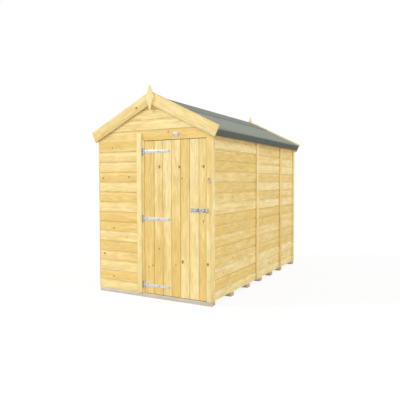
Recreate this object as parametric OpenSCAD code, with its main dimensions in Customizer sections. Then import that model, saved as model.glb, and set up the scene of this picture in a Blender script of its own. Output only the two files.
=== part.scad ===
// Apex garden shed in softwood: bearers and floor, framed and clad wall panels, a felted
// boarded roof with bargeboards and finials, and a ledged and braced door on T hinges.
// Millimetres. +Z up, the door looks along -Y, origin on the ground under the middle.

/* [Walls] */
// Width over the side cladding
wall_w = 1468; // [1200:1:1900]
// Length over the front and back cladding
wall_l = 2750; // [2500:1:3400]
// Height of the side cladding above the bearers
wall_h = 1806; // [1650:1:2000]
// Thickness of the cladding boards
clad_t = 12; // [9:1:18]
// Length of the front panel of each side wall
front_panel_l = 1200; // [900:1:1300]
// Length of the middle panel of each side wall
middle_panel_l = 880; // [600:1:950]
// Depth of the wall framing behind the cladding
frame_d = 28; // [22:1:38]
// Face width of the wall framing
frame_w = 45; // [34:1:50]

/* [Cover strips] */
// Width of the strips over the panel joints
strip_w = 60; // [45:1:80]
// Thickness of the strips
strip_t = 16; // [10:1:22]
// Height of the front strip above the door head
front_strip_rise = 84; // [20:1:110]

/* [Floor] */
// Height of the floor bearers
bearer_h = 44; // [35:1:70]
// Width of the floor bearers
bearer_w = 80; // [35:1:95]
// Reach of the bearers beyond the side cladding
bearer_over = 8; // [0:1:16]
// Thickness of the floor boards
floor_t = 12; // [9:1:20]
// Length of the front floor panel
front_floor_l = 1313; // [1100:1:1400]
// Spacing of the bearers under the front floor panel
front_bearer_pitch = 465; // [350:1:500]
// Spacing of the bearers under the rear floor panel
rear_bearer_pitch = 390; // [300:1:420]

/* [Roof] */
// Slope of the roof in degrees
roof_pitch = 26.3; // [20:0.1:32]
// Thickness of the roof boards
deck_t = 11; // [9:1:18]
// Thickness of the roofing felt
felt_t = 2.5; // [1.5:0.5:4]
// Overhang of the roof past each side wall
eave_overhang = 81; // [70:1:120]
// Depth of the batten under each eave
batten_h = 67; // [40:1:80]
// Thickness of the batten under each eave
batten_t = 20; // [14:1:26]
// Depth of the purlins under the roof boards
purlin_h = 45; // [35:1:60]
// Thickness of the purlins
purlin_t = 28; // [22:1:38]
// Reach of the ridge strip of felt down each slope
ridge_felt_l = 330; // [200:1:450]

/* [Bargeboards and finials] */
// Width of the bargeboards
barge_w = 128; // [100:1:150]
// Thickness of the bargeboards
barge_t = 15; // [12:1:22]
// Height of the front bargeboards above the roof boards
barge_rise = 36; // [10:1:45]
// Height of the back bargeboards above the roof boards
back_barge_rise = 18; // [10:1:45]
// Reach of the bargeboards past the felt at the eave
barge_past = 3; // [0:1:10]
// Height of the finials
finial_h = 273; // [200:1:320]
// Widest width of the finials
finial_w = 96; // [70:1:110]
// Thickness of the finials
finial_t = 17; // [12:1:22]
// Height of the finial tip above the bargeboard peak
finial_above = 64.5; // [40:0.5:110]

/* [Door] */
// Width of the door
door_w = 768; // [650:1:850]
// Thickness of the door boards
door_t = 12; // [9:1:18]
// Gap around the door
door_gap = 6; // [5:1:10]
// Depth of the cladding between the door head and the eave
head_drop = 115; // [105:1:160]
// Width of the post on the bolt side
latch_post_w = 52; // [46:1:70]
// Width of the post on the hinge side
hinge_post_w = 63; // [56:1:80]
// Width of the hinge post left bare beside the front strip
post_reveal = 29; // [26:1:40]
// Width of the ledges across the back of the door
ledge_w = 95; // [70:1:120]
// Thickness of the ledges and braces
ledge_t = 22; // [16:1:25]
// Distance of the ledge ends from the door edges
ledge_inset = 40; // [25:1:60]
// Width of the braces, measured level
brace_w = 110; // [80:1:140]

/* [Hinges] */
// Length of the hinge straps from the pin
strap_l = 340; // [250:1:420]
// Depth of the straps at the pin
strap_root = 38; // [34:1:46]
// Depth of the straps at the tip
strap_tip = 24; // [18:1:30]
// Thickness of the hinge plates
plate_t = 2.5; // [2:0.5:4]
// Gap between the fixed leaf and the front strip beside it
leaf_side_gap = 1; // [0.5:0.5:6]
// Height of the fixed leaf
leaf_h = 88; // [70:1:110]
// Diameter of the hinge knuckles
knuckle_d = 10; // [9:0.5:11]
// Diameter of the hinge pins
pin_d = 5; // [4:0.5:6]
// Height of the lowest hinge above the bearers
hinge_low = 97; // [85:1:160]
// Distance of the highest hinge below the door head
hinge_top_drop = 120; // [100:1:200]

/* [Pad bolt] */
// Height of the bolt above the bearers
bolt_z = 944; // [850:1:1050]
// Diameter of the bolt
bolt_d = 10; // [8:1:14]
// Length of the bolt
bolt_l = 176; // [165:1:200]
// Travel of the bolt
bolt_travel = 40; // [36:1:44]
// Length of the bolt plate
bolt_plate_l = 164; // [142:1:170]
// Depth of the bolt plate
bolt_plate_h = 38; // [30:1:50]
// Length of each guide on the bolt plate
guide_l = 24; // [16:1:28]
// Distance of the bolt plate from the door edge
bolt_plate_inset = 10; // [8:1:16]
// Width of the keeper on the post
keeper_w = 18; // [14:1:20]
// Diameter of the bolt's knob
knob_d = 16; // [12:1:20]

/* [Turn button] */
// Height of the turn button above the bearers
button_z = 1271; // [1150:1:1400]
// Length of the button from its screw to the tip of its arm
button_arm = 46; // [40:1:52]
// Width of the button
button_w = 18; // [14:1:20]
// Thickness of the button
button_t = 4; // [3:0.5:6]
// Distance of the button from the face of the door
button_off = 6; // [5:0.5:8]
// Distance of the screw from the edge of the post
button_inset = 27; // [24:1:28]

/* [Hidden] */
$fn = 48;

clad_colour = "#f0d48c";
trim_colour = "#f7e3a6";
frame_colour = "#e6c583";
bearer_colour = "#cdbfa9";
felt_colour = "#7d8780";
steel_colour = "#c9ccd6";

// Gap at the butt joints between frame timbers
joint_gap = 0.3;
// Gap between the walls and the underside of the roof boards
roof_seat = 0.3;
// Gap between the timbers, the boards and the felt of the roof
roof_lay = 0.05;
// Gap between the floor and the cladding around it
floor_fit = 1;
// Clearance of a pin in its knuckle, and of the knuckles from each other
pin_fit = 0.1;
knuckle_gap = 0.3;
// Room around the hinge knuckles in the plates beside them
knuckle_room = 1;
// Reach of a cut past the face it opens
cut = 1;

half_w = wall_w / 2;
half_l = wall_l / 2;
wall_d = clad_t + frame_d;
wall_top = bearer_h + wall_h;
floor_top = bearer_h + floor_t;
inner_w = half_w - clad_t;

// Roof lines: s runs down the slope from the ridge along the top of the boards, n stands
// square to them.
deck_peak = wall_top + roof_seat + half_w * tan(roof_pitch) + deck_t / cos(roof_pitch);
eave_s = (half_w + eave_overhang) / cos(roof_pitch);
felt_top = roof_lay + felt_t;
felt_s = eave_s + roof_lay;
felt_drop = deck_t + batten_h;
barge_s = felt_s + felt_t + barge_past;
function roof_point(s, n) = [
  s * cos(roof_pitch) + n * sin(roof_pitch),
  deck_peak - s * sin(roof_pitch) + n * cos(roof_pitch)
];
// Distance down the slope at which a line n from the boards meets the middle of the shed
function plumb(n) = -n * tan(roof_pitch);
// Height of the wall tops under the roof boards, x from the middle
function gable_z(x) = wall_top + (half_w - abs(x)) * tan(roof_pitch);
function barge_peak(rise) = deck_peak + rise / cos(roof_pitch);

// Outline of a finial from its tip down: shares of its height and of half its width at
// the tip, the neck, the shoulder, the tail and the foot
finial_line = [[0, 0.08], [0.3, 0.66], [0.48, 1], [0.88, 0.3], [1, 0.06]];
finial_steps = 36;

// Side wall panels, from the back of the front wall to the front of the back wall
side_y0 = -half_l + wall_d;
side_y1 = side_y0 + front_panel_l;
side_y2 = side_y1 + middle_panel_l;
side_y3 = half_l - wall_d;
long_panel_studs = 3;
short_panel_studs = 2;

// Door opening
head_z = wall_top - head_drop;
door_x1 = half_w - latch_post_w - door_gap;
door_x0 = door_x1 - door_w;
door_z0 = bearer_h + door_gap;
door_z1 = head_z - door_gap;
latch_post_x0 = door_x1 + door_gap;
hinge_post_x1 = door_x0 - door_gap;
hinge_post_x0 = hinge_post_x1 - hinge_post_w;
front_y = -half_l;
ledge_y = front_y + door_t;

// Hinge pins, in the gap beside the door, with the knuckles against the face of the wall
pin_x = door_x0 - door_gap / 2;
leaf_w = pin_x - (hinge_post_x1 - post_reveal) - leaf_side_gap;
pin_y = front_y - knuckle_d / 2;
hinge_z0 = bearer_h + hinge_low;
hinge_z2 = head_z - hinge_top_drop;
hinge_heights = [hinge_z0, (hinge_z0 + hinge_z2) / 2, hinge_z2];
knuckle_reach = knuckle_d / 2 + knuckle_room;
strap_knuckle = strap_root / 2;

// Pad bolt, drawn back
bolt_plate_t = 2;
bolt_clear = 1.5;
bolt_h = bearer_h + bolt_z;
bolt_y = front_y - bolt_plate_t - bolt_clear - bolt_d / 2;
bolt_plate_x1 = door_x1 - bolt_plate_inset;
bolt_plate_x0 = bolt_plate_x1 - bolt_plate_l;
bolt_x1 = door_x1 - door_gap;
guide_wall = 3;
guide_end = 2;
knob_stem_d = 6;
knob_stem_l = 7;
knob_t = 6;
knob_x = (bolt_plate_x0 + bolt_plate_x1 - bolt_travel) / 2;
keeper_t = 2;
keeper_foot = 14;
keeper_room = 3;
keeper_inset = 5;
keeper_x0 = latch_post_x0 + keeper_inset;

// Turn button, hanging from its screw
button_h = bearer_h + button_z;
button_x = latch_post_x0 + button_inset;
button_y = front_y - button_off;
button_boss_d = 12;
screw_d = 5;
screw_head_d = 10;
screw_head_t = 2.5;

// Floor
floor_y0 = front_y + clad_t + door_gap;
floor_y1 = half_l - clad_t - floor_fit;
floor_joint_y = floor_y0 + front_floor_l;
front_bearers = [for (i = [0:2]) front_y + i * front_bearer_pitch];
rear_bearers = [for (i = [0:2]) floor_joint_y + i * rear_bearer_pitch];
bearers = concat(front_bearers, rear_bearers, [half_l - bearer_w]);

// A block between two corners
module block(low, high) translate(low) cube(high - low);
// An outline in x and z, drawn out along y
module along_y(y0, y1) translate([0, y1, 0]) rotate([90, 0, 0]) linear_extrude(y1 - y0) children();
// An outline in y and z, drawn out along x
module along_x(x0, x1) translate([x0, 0, 0]) rotate([90, 0, 90]) linear_extrude(x1 - x0) children();
module on_left() mirror([1, 0, 0]) children();
module at_back() mirror([0, 1, 0]) children();

module floor_bearers() color(bearer_colour)
  for (y = bearers) block([-half_w - bearer_over, y, 0], [half_w + bearer_over, y + bearer_w, bearer_h]);

module floor_panel(y0, y1) color(frame_colour)
  block([-inner_w + floor_fit, y0, bearer_h], [inner_w - floor_fit, y1, floor_top]);

// Outline of a gable wall from z0 up to the roof boards
module gable_outline(z0)
  polygon([
    [-half_w, z0], [half_w, z0], [half_w, gable_z(half_w)],
    [0, gable_z(0)], [-half_w, gable_z(half_w)]
  ]);

module front_wall_cladding() color(clad_colour)
  block([-half_w, front_y, bearer_h], [hinge_post_x0, front_y + clad_t, head_z]);

module front_gable_cladding() color(clad_colour)
  along_y(front_y, front_y + clad_t) gable_outline(head_z);

module back_wall_cladding() color(clad_colour)
  along_y(half_l - clad_t, half_l) gable_outline(bearer_h);

// Corner stud and sole plate of the front wall, left of the door
module front_wall_frame() color(frame_colour) {
  y0 = front_y + clad_t;
  y1 = front_y + wall_d;
  stud_x1 = -half_w + frame_w;
  block([-half_w, y0, floor_top], [stud_x1, y1, head_z]);
  block(
    [stud_x1 + joint_gap, y0, floor_top],
    [hinge_post_x0 - joint_gap, y1, floor_top + frame_w]
  );
}

// Studs and sole plate of the back wall, below the tie
module back_wall_frame() color(frame_colour) {
  y0 = half_l - wall_d;
  y1 = half_l - clad_t;
  plate_x = half_w - frame_w - joint_gap;
  for (x = [-half_w, half_w - frame_w]) block([x, y0, floor_top], [x + frame_w, y1, head_z]);
  block([-plate_x, y0, floor_top], [plate_x, y1, floor_top + frame_w]);
  block(
    [-frame_w / 2, y0, floor_top + frame_w + joint_gap],
    [frame_w / 2, y1, head_z]
  );
}

// Tie, king post and the two rails under the roof boards, at the front
module gable_frame() color(frame_colour) {
  tie_z = head_z + frame_w;
  post_x = frame_w / 2;
  rail_x = post_x + joint_gap;
  rail_h = frame_w / cos(roof_pitch);
  along_y(front_y + clad_t, front_y + wall_d) {
    translate([-half_w, head_z]) square([wall_w, frame_w]);
    polygon([
      [-post_x, tie_z + joint_gap], [post_x, tie_z + joint_gap], [post_x, gable_z(post_x)],
      [0, gable_z(0)], [-post_x, gable_z(post_x)]
    ]);
    for (side = [-1, 1]) intersection() {
      polygon([
        [side * rail_x, gable_z(rail_x) - rail_h], [side * half_w, gable_z(half_w) - rail_h],
        [side * half_w, gable_z(half_w)], [side * rail_x, gable_z(rail_x)]
      ]);
      translate([-half_w, tie_z + joint_gap]) square([wall_w, gable_z(0)]);
    }
  }
}

// A door post, notched at its foot over the edge of the floor
module door_post(x0, x1) color(trim_colour)
  difference() {
    block([x0, front_y, bearer_h], [x1, front_y + wall_d, head_z]);
    block(
      [x0 - cut, front_y + clad_t, bearer_h - cut],
      [x1 + cut, front_y + wall_d + cut, floor_top]
    );
  }

module front_cover_strip() color(trim_colour) {
  x1 = hinge_post_x1 - post_reveal;
  block([x1 - strip_w, front_y - strip_t, bearer_h], [x1, front_y, head_z + front_strip_rise]);
}

module side_cladding(y0, y1) color(clad_colour)
  block([inner_w, y0, bearer_h], [half_w, y1, wall_top]);

// Sole plate, head plate and studs of one side panel
module side_frame(y0, y1, studs) {
  x0 = half_w - wall_d;
  stud_z0 = floor_top + frame_w + joint_gap;
  stud_z1 = wall_top - frame_w - joint_gap;
  stud_step = (y1 - y0 - 2 * joint_gap - frame_w) / (studs - 1);
  for (z = [floor_top, wall_top - frame_w])
    block([x0, y0 + joint_gap, z], [inner_w, y1 - joint_gap, z + frame_w]);
  for (i = [0:studs - 1]) {
    y = y0 + joint_gap + i * stud_step;
    block([x0, y, stud_z0], [inner_w, y + frame_w, stud_z1]);
  }
}

module side_frames() color(frame_colour) {
  side_frame(side_y0, side_y1, long_panel_studs);
  side_frame(side_y1, side_y2, long_panel_studs);
  side_frame(side_y2, side_y3, short_panel_studs);
}

// Strips over the corners and the panel joints of one side wall
module side_cover_strips() color(trim_colour) {
  top = gable_z(half_w) - strip_t * tan(roof_pitch);
  for (y = [-half_l, side_y1 - strip_w / 2, side_y2 - strip_w / 2, half_l - strip_w])
    block([half_w, y, bearer_h], [half_w + strip_t, y + strip_w, top]);
}

// Outline of a layer of one roof slope, cut plumb at the ridge and square at the eave
module slope_outline(n0, n1, s1)
  polygon([
    roof_point(plumb(n0), n0), roof_point(s1, n0), roof_point(s1, n1), roof_point(plumb(n1), n1)
  ]);

module roof_deck() color(frame_colour)
  along_y(-half_l, half_l) slope_outline(-deck_t, 0, eave_s);

// Timber under the roof boards, from s0 down the slope
module under_deck(s0, width, depth, y) {
  top = -deck_t - roof_lay;
  along_y(-y, y) polygon([
    roof_point(s0, top - depth), roof_point(s0 + width, top - depth),
    roof_point(s0 + width, top), roof_point(s0, top)
  ]);
}

// Eave batten, middle purlin and ridge purlin of one slope
module roof_frame() color(frame_colour) {
  purlin_y = half_l - wall_d - joint_gap;
  ridge_s = (joint_gap + (deck_t + purlin_h) * sin(roof_pitch)) / cos(roof_pitch);
  middle_s = half_w / cos(roof_pitch) / 2;
  under_deck(eave_s - batten_t, batten_t, batten_h, half_l);
  under_deck(middle_s, purlin_t, purlin_h, purlin_y);
  under_deck(ridge_s, purlin_t, purlin_h, purlin_y);
}

// Felt of one slope, turned down over the eave batten
module felt() color(felt_colour)
  along_y(-half_l, half_l) polygon([
    roof_point(plumb(roof_lay), roof_lay), roof_point(felt_s, roof_lay),
    roof_point(felt_s, -felt_drop), roof_point(felt_s + felt_t, -felt_drop),
    roof_point(felt_s + felt_t, felt_top), roof_point(plumb(felt_top), felt_top)
  ]);

// Strip of felt folded over the ridge, on top of the felt of both slopes
module ridge_felt() color(felt_colour) {
  low = felt_top + roof_lay;
  high = low + felt_t;
  right = [
    roof_point(plumb(low), low), roof_point(ridge_felt_l, low),
    roof_point(ridge_felt_l, high), roof_point(plumb(high), high)
  ];
  left = [for (i = [2, 1]) [-right[i][0], right[i][1]]];
  along_y(-half_l, half_l) polygon(concat(right, left));
}

module bargeboard(rise) color(trim_colour)
  along_y(front_y - barge_t, front_y) slope_outline(rise - barge_w, rise, barge_s);

// Half the width of a finial at a share of its height from the tip, eased from one place of
// its outline to the next
function ease(share) = share * (1 + share * (3 - 2 * share)) / 2;
function finial_half(share, i = 0) =
  share > finial_line[i + 1][0] ? finial_half(share, i + 1) :
  let (
    from = finial_line[i],
    to = finial_line[i + 1],
    way = ease((share - from[0]) / (to[0] - from[0]))
  )
  finial_w / 2 * (from[1] + (to[1] - from[1]) * way);

module finial(rise) color(trim_colour) {
  tip_z = barge_peak(rise) + finial_above;
  shares = [for (i = [0:finial_steps]) i / finial_steps];
  right = [for (share = shares) [finial_half(share), tip_z - finial_h * share]];
  left = [for (i = [finial_steps:-1:0]) [-right[i][0], right[i][1]]];
  along_y(front_y - barge_t - finial_t, front_y - barge_t) polygon(concat(right, left));
}

// A length of hinge knuckle or pin
module barrel(d, z0, z1) translate([pin_x, pin_y, z0]) cylinder(d = d, h = z1 - z0);

// Fixed leaves on the hinge post, each with its outer knuckles and its pin
module hinge_leaves() color(steel_colour)
  for (z = hinge_heights) {
    inner = strap_knuckle / 2 + knuckle_gap;
    outer = strap_knuckle;
    difference() {
      union() {
        block([pin_x - leaf_w, front_y - plate_t, z - leaf_h / 2], [pin_x, front_y, z + leaf_h / 2]);
        barrel(knuckle_d, z - outer, z + outer);
      }
      block(
        [pin_x - knuckle_reach, pin_y - knuckle_d, z - inner],
        [pin_x + knuckle_d, front_y + cut, z + inner]
      );
      for (side = [-1, 1]) translate([0, 0, z + side * (outer + leaf_h) / 2 + side * knuckle_gap])
        block(
          [pin_x - knuckle_reach, front_y - plate_t - cut, -(leaf_h - outer) / 2],
          [pin_x + cut, front_y + cut, (leaf_h - outer) / 2]
        );
    }
    barrel(pin_d, z - outer, z + outer);
  }

// Outline of a strap from its root beside the knuckles to its round tip
module strap_outline(z)
  translate([pin_x, z]) {
    tip_x = strap_l - strap_tip / 2;
    polygon([
      [knuckle_reach, -strap_root / 2], [tip_x, -strap_tip / 2],
      [tip_x, strap_tip / 2], [knuckle_reach, strap_root / 2]
    ]);
    translate([tip_x, 0]) circle(d = strap_tip);
  }

module hinge_straps() color(steel_colour)
  for (z = hinge_heights) difference() {
    union() {
      along_y(front_y - plate_t, front_y) strap_outline(z);
      block(
        [pin_x, front_y - plate_t, z - strap_knuckle / 2],
        [pin_x + knuckle_reach + cut, front_y, z + strap_knuckle / 2]
      );
      barrel(knuckle_d, z - strap_knuckle / 2, z + strap_knuckle / 2);
    }
    barrel(pin_d + 2 * pin_fit, z - strap_root, z + strap_root);
  }

module door_boards() color(clad_colour)
  block([door_x0, front_y, door_z0], [door_x1, front_y + door_t, door_z1]);

module door_ledges() color(frame_colour)
  for (z = hinge_heights) block(
    [door_x0 + ledge_inset, ledge_y, z - ledge_w / 2],
    [door_x1 - ledge_inset, ledge_y + ledge_t, z + ledge_w / 2]
  );

// Braces that rise from the hinge side of each ledge to the far end of the next
module door_braces() color(frame_colour)
  for (i = [0, 1]) {
    x0 = door_x0 + ledge_inset;
    x1 = door_x1 - ledge_inset;
    z0 = hinge_heights[i] + ledge_w / 2 + joint_gap;
    z1 = hinge_heights[i + 1] - ledge_w / 2 - joint_gap;
    along_y(ledge_y, ledge_y + ledge_t)
      polygon([[x0, z0], [x0 + brace_w, z0], [x1, z1], [x1 - brace_w, z1]]);
  }

module bolt_rod(d, x0, x1) translate([x0, bolt_y, bolt_h]) rotate([0, 90, 0]) cylinder(d = d, h = x1 - x0);

// Plate on the door with two guides for the bolt
module bolt_plate() color(steel_colour) {
  guide_d = bolt_d + 2 * guide_wall;
  difference() {
    union() {
      block(
        [bolt_plate_x0, front_y - bolt_plate_t, bolt_h - bolt_plate_h / 2],
        [bolt_plate_x1, front_y, bolt_h + bolt_plate_h / 2]
      );
      for (x = [bolt_plate_x0 + guide_end, bolt_plate_x1 - guide_end - guide_l]) {
        bolt_rod(guide_d, x, x + guide_l);
        block([x, bolt_y, bolt_h - guide_d / 2], [x + guide_l, front_y, bolt_h + guide_d / 2]);
      }
    }
    bolt_rod(bolt_d + 2 * pin_fit, bolt_plate_x0 - cut, bolt_plate_x1 + cut);
  }
}

module sliding_bolt() color(steel_colour) {
  bolt_rod(bolt_d, bolt_x1 - bolt_l, bolt_x1);
  translate([knob_x, bolt_y, bolt_h]) rotate([90, 0, 0]) {
    cylinder(d = knob_stem_d, h = bolt_d / 2 + knob_stem_l);
    translate([0, 0, bolt_d / 2 + knob_stem_l]) cylinder(d = knob_d, h = knob_t);
  }
}

// Strap bent over the path of the bolt, with a foot above and below it
module bolt_keeper() color(steel_colour) {
  room_z = bolt_d / 2 + keeper_room;
  room_y = bolt_y - bolt_d / 2 - keeper_room;
  foot_z = room_z + keeper_t + keeper_foot;
  along_x(keeper_x0, keeper_x0 + keeper_w) translate([0, bolt_h]) polygon([
    [front_y, -foot_z], [front_y, -room_z], [room_y, -room_z], [room_y, room_z],
    [front_y, room_z], [front_y, foot_z], [front_y - keeper_t, foot_z],
    [front_y - keeper_t, room_z + keeper_t], [room_y - keeper_t, room_z + keeper_t],
    [room_y - keeper_t, -room_z - keeper_t], [front_y - keeper_t, -room_z - keeper_t],
    [front_y - keeper_t, -foot_z]
  ]);
}

// Round bar along -y from the face of the wall at the turn button's screw
module button_bar(d, off0, off1)
  translate([button_x, front_y - off0, button_h]) rotate([90, 0, 0]) cylinder(d = d, h = off1 - off0);

// Button with a boss that keeps its arm clear of the door
module turn_button() color(steel_colour)
  difference() {
    union() {
      along_y(button_y - button_t, button_y) translate([button_x, button_h]) {
        circle(d = button_w);
        translate([-button_w / 2, button_w / 2 - button_arm]) square([button_w, button_arm - button_w / 2]);
        translate([0, button_w / 2 - button_arm]) circle(d = button_w);
      }
      button_bar(button_boss_d, knuckle_gap, button_off);
    }
    button_bar(screw_d + 2 * pin_fit, -cut, button_off + button_t + cut);
  }

module button_screw() color(steel_colour) {
  head = button_off + button_t + knuckle_gap;
  button_bar(screw_d, 0, head);
  button_bar(screw_head_d, head, head + screw_head_t);
}

floor_bearers();
floor_panel(floor_y0, floor_joint_y);  // floor_front_panel
floor_panel(floor_joint_y, floor_y1);  // floor_rear_panel
front_wall_cladding();
front_gable_cladding();
front_wall_frame();
gable_frame();  // front_gable_frame
door_post(hinge_post_x0, hinge_post_x1);  // hinge_side_post
door_post(latch_post_x0, half_w);  // latch_side_post
front_cover_strip();
back_wall_cladding();
back_wall_frame();
at_back() gable_frame();  // back_gable_frame
side_cladding(side_y0, side_y1);  // right_front_cladding
side_cladding(side_y1, side_y2);  // right_middle_cladding
side_cladding(side_y2, side_y3);  // right_rear_cladding
on_left() side_cladding(side_y0, side_y1);  // left_front_cladding
on_left() side_cladding(side_y1, side_y2);  // left_middle_cladding
on_left() side_cladding(side_y2, side_y3);  // left_rear_cladding
side_frames();  // right_wall_frames
on_left() side_frames();  // left_wall_frames
side_cover_strips();  // right_cover_strips
on_left() side_cover_strips();  // left_cover_strips
roof_deck();  // right_roof_deck
on_left() roof_deck();  // left_roof_deck
roof_frame();  // right_roof_frame
on_left() roof_frame();  // left_roof_frame
felt();  // right_felt
on_left() felt();  // left_felt
ridge_felt();
bargeboard(barge_rise);  // front_right_bargeboard
on_left() bargeboard(barge_rise);  // front_left_bargeboard
at_back() bargeboard(back_barge_rise);  // back_right_bargeboard
at_back() on_left() bargeboard(back_barge_rise);  // back_left_bargeboard
finial(barge_rise);  // front_finial
at_back() finial(back_barge_rise);  // back_finial
hinge_leaves();
bolt_keeper();
button_screw();
door_boards();
door_ledges();
door_braces();
hinge_straps();
bolt_plate();
sliding_bolt();
turn_button();
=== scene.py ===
"""Looks of the wooden garden shed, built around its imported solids.

Sizes are in millimetres in the part's own frame: the front of the shed faces -Y, its length
runs along Y, and the ground is at Z 0. Meshes are scaled to metres when they are made.
"""

import logging
import math
import random
from dataclasses import dataclass, field
from enum import Enum
from functools import cache
from itertools import pairwise
from typing import Iterable, Sequence

import bmesh
import bpy
from mathutils import Matrix, Vector


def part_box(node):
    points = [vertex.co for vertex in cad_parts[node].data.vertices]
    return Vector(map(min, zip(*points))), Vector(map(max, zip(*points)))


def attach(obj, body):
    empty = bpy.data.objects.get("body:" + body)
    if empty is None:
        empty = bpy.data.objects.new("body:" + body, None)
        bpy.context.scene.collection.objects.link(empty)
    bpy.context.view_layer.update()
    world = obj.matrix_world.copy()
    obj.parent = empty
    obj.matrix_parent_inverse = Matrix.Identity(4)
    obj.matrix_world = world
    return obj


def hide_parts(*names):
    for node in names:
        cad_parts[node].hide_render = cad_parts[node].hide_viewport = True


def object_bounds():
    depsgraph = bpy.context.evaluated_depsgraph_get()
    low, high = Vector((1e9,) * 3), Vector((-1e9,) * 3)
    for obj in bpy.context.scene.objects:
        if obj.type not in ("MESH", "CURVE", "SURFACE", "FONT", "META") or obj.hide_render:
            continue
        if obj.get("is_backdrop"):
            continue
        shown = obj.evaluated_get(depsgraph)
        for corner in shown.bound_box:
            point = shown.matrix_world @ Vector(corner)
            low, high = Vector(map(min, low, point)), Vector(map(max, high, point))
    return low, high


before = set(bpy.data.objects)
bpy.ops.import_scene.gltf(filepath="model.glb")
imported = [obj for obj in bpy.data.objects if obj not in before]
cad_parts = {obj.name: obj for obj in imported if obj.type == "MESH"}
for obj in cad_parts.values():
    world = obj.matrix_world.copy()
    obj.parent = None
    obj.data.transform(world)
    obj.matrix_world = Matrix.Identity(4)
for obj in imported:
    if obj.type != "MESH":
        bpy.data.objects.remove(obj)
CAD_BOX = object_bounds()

LOG = logging.getLogger("garden_shed")
MM = 0.001
X, Y, Z = Vector((1, 0, 0)), Vector((0, 1, 0)), Vector((0, 0, 1))
FLAT_ANGLE, SHARP_ANGLE = math.radians(0.5), math.radians(40)

Solid = bmesh.types.BMesh
Socket = bpy.types.NodeSocket
Input = float | Sequence[float] | Socket
Plane = tuple[Vector, Vector]
Triple = tuple[float, float, float]
Outline = Sequence[tuple[float, float]]


# Boards and their marks


class Tone(Enum):
    """How deep the colour of a board is, from pale sapwood to honey-coloured heartwood."""

    SAP = 0.0
    PALE = 0.3
    STRAW = 0.62
    HONEY = 1.0

    @staticmethod
    def row(letters: str) -> list["Tone"]:
        """Tones of a row of boards, by letter: s for sap, p for pale, t for straw, h for honey."""
        by_letter = dict(zip("spth", Tone))
        return [by_letter[letter] for letter in letters]


class Body(Enum):
    """Bodies of the shed, by their names in the record."""

    SHED = "shed"
    DOOR = "door"
    BOLT = "bolt"
    BUTTON = "button"


class Side(Enum):
    """Sides of the shed, by their direction along X."""

    RIGHT = 1
    LEFT = -1

    @property
    def word(self) -> str:
        """The side's name in the names of pieces and nodes."""
        return self.name.lower()


@dataclass(frozen=True)
class Knot:
    """A knot, by its place along and across the panel that it is in.

    Args:
        along: place along the grain.
        across: place across the boards.
        radius: half its width across the grain.
    """

    along: float
    across: float
    radius: float


# Stands for a missing knot: far outside any board.
NO_KNOT = (99.0, 99.0, 0.0001)


@dataclass(frozen=True)
class Lay:
    """How a board lies; without values, measures are those of the part's own frame.

    Args:
        origin: corner of its face where the measures start.
        along: direction of the grain.
        across: direction of its width.
        inward: direction from its face into the wood.
    """

    origin: Vector = field(default_factory=Vector)
    along: Vector = field(default_factory=X.copy)
    across: Vector = field(default_factory=Y.copy)
    inward: Vector = field(default_factory=Z.copy)

    def point(self, u: float, v: float, w: float) -> Vector:
        """Point at these measures along, across and into the board."""
        return self.origin + self.along * u + self.across * v + self.inward * w

    def local(self, place: Vector) -> Vector:
        """Measures along, across and into the board of a point."""
        away = place - self.origin
        return Vector((away.dot(self.along), away.dot(self.across), away.dot(self.inward)))

    def shifted(self, u: float, v: float) -> "Lay":
        """The same lay from another corner on the face."""
        return Lay(self.point(u, v, 0), self.along, self.across, self.inward)


def placed(name: str, data: bpy.types.ID) -> bpy.types.Object:
    """A new object in the scene.

    Args:
        name: its name.
        data: its mesh, lamp or camera.

    Returns:
        The object.
    """
    made = bpy.data.objects.new(name, data)
    bpy.context.scene.collection.objects.link(made)
    return made


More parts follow.
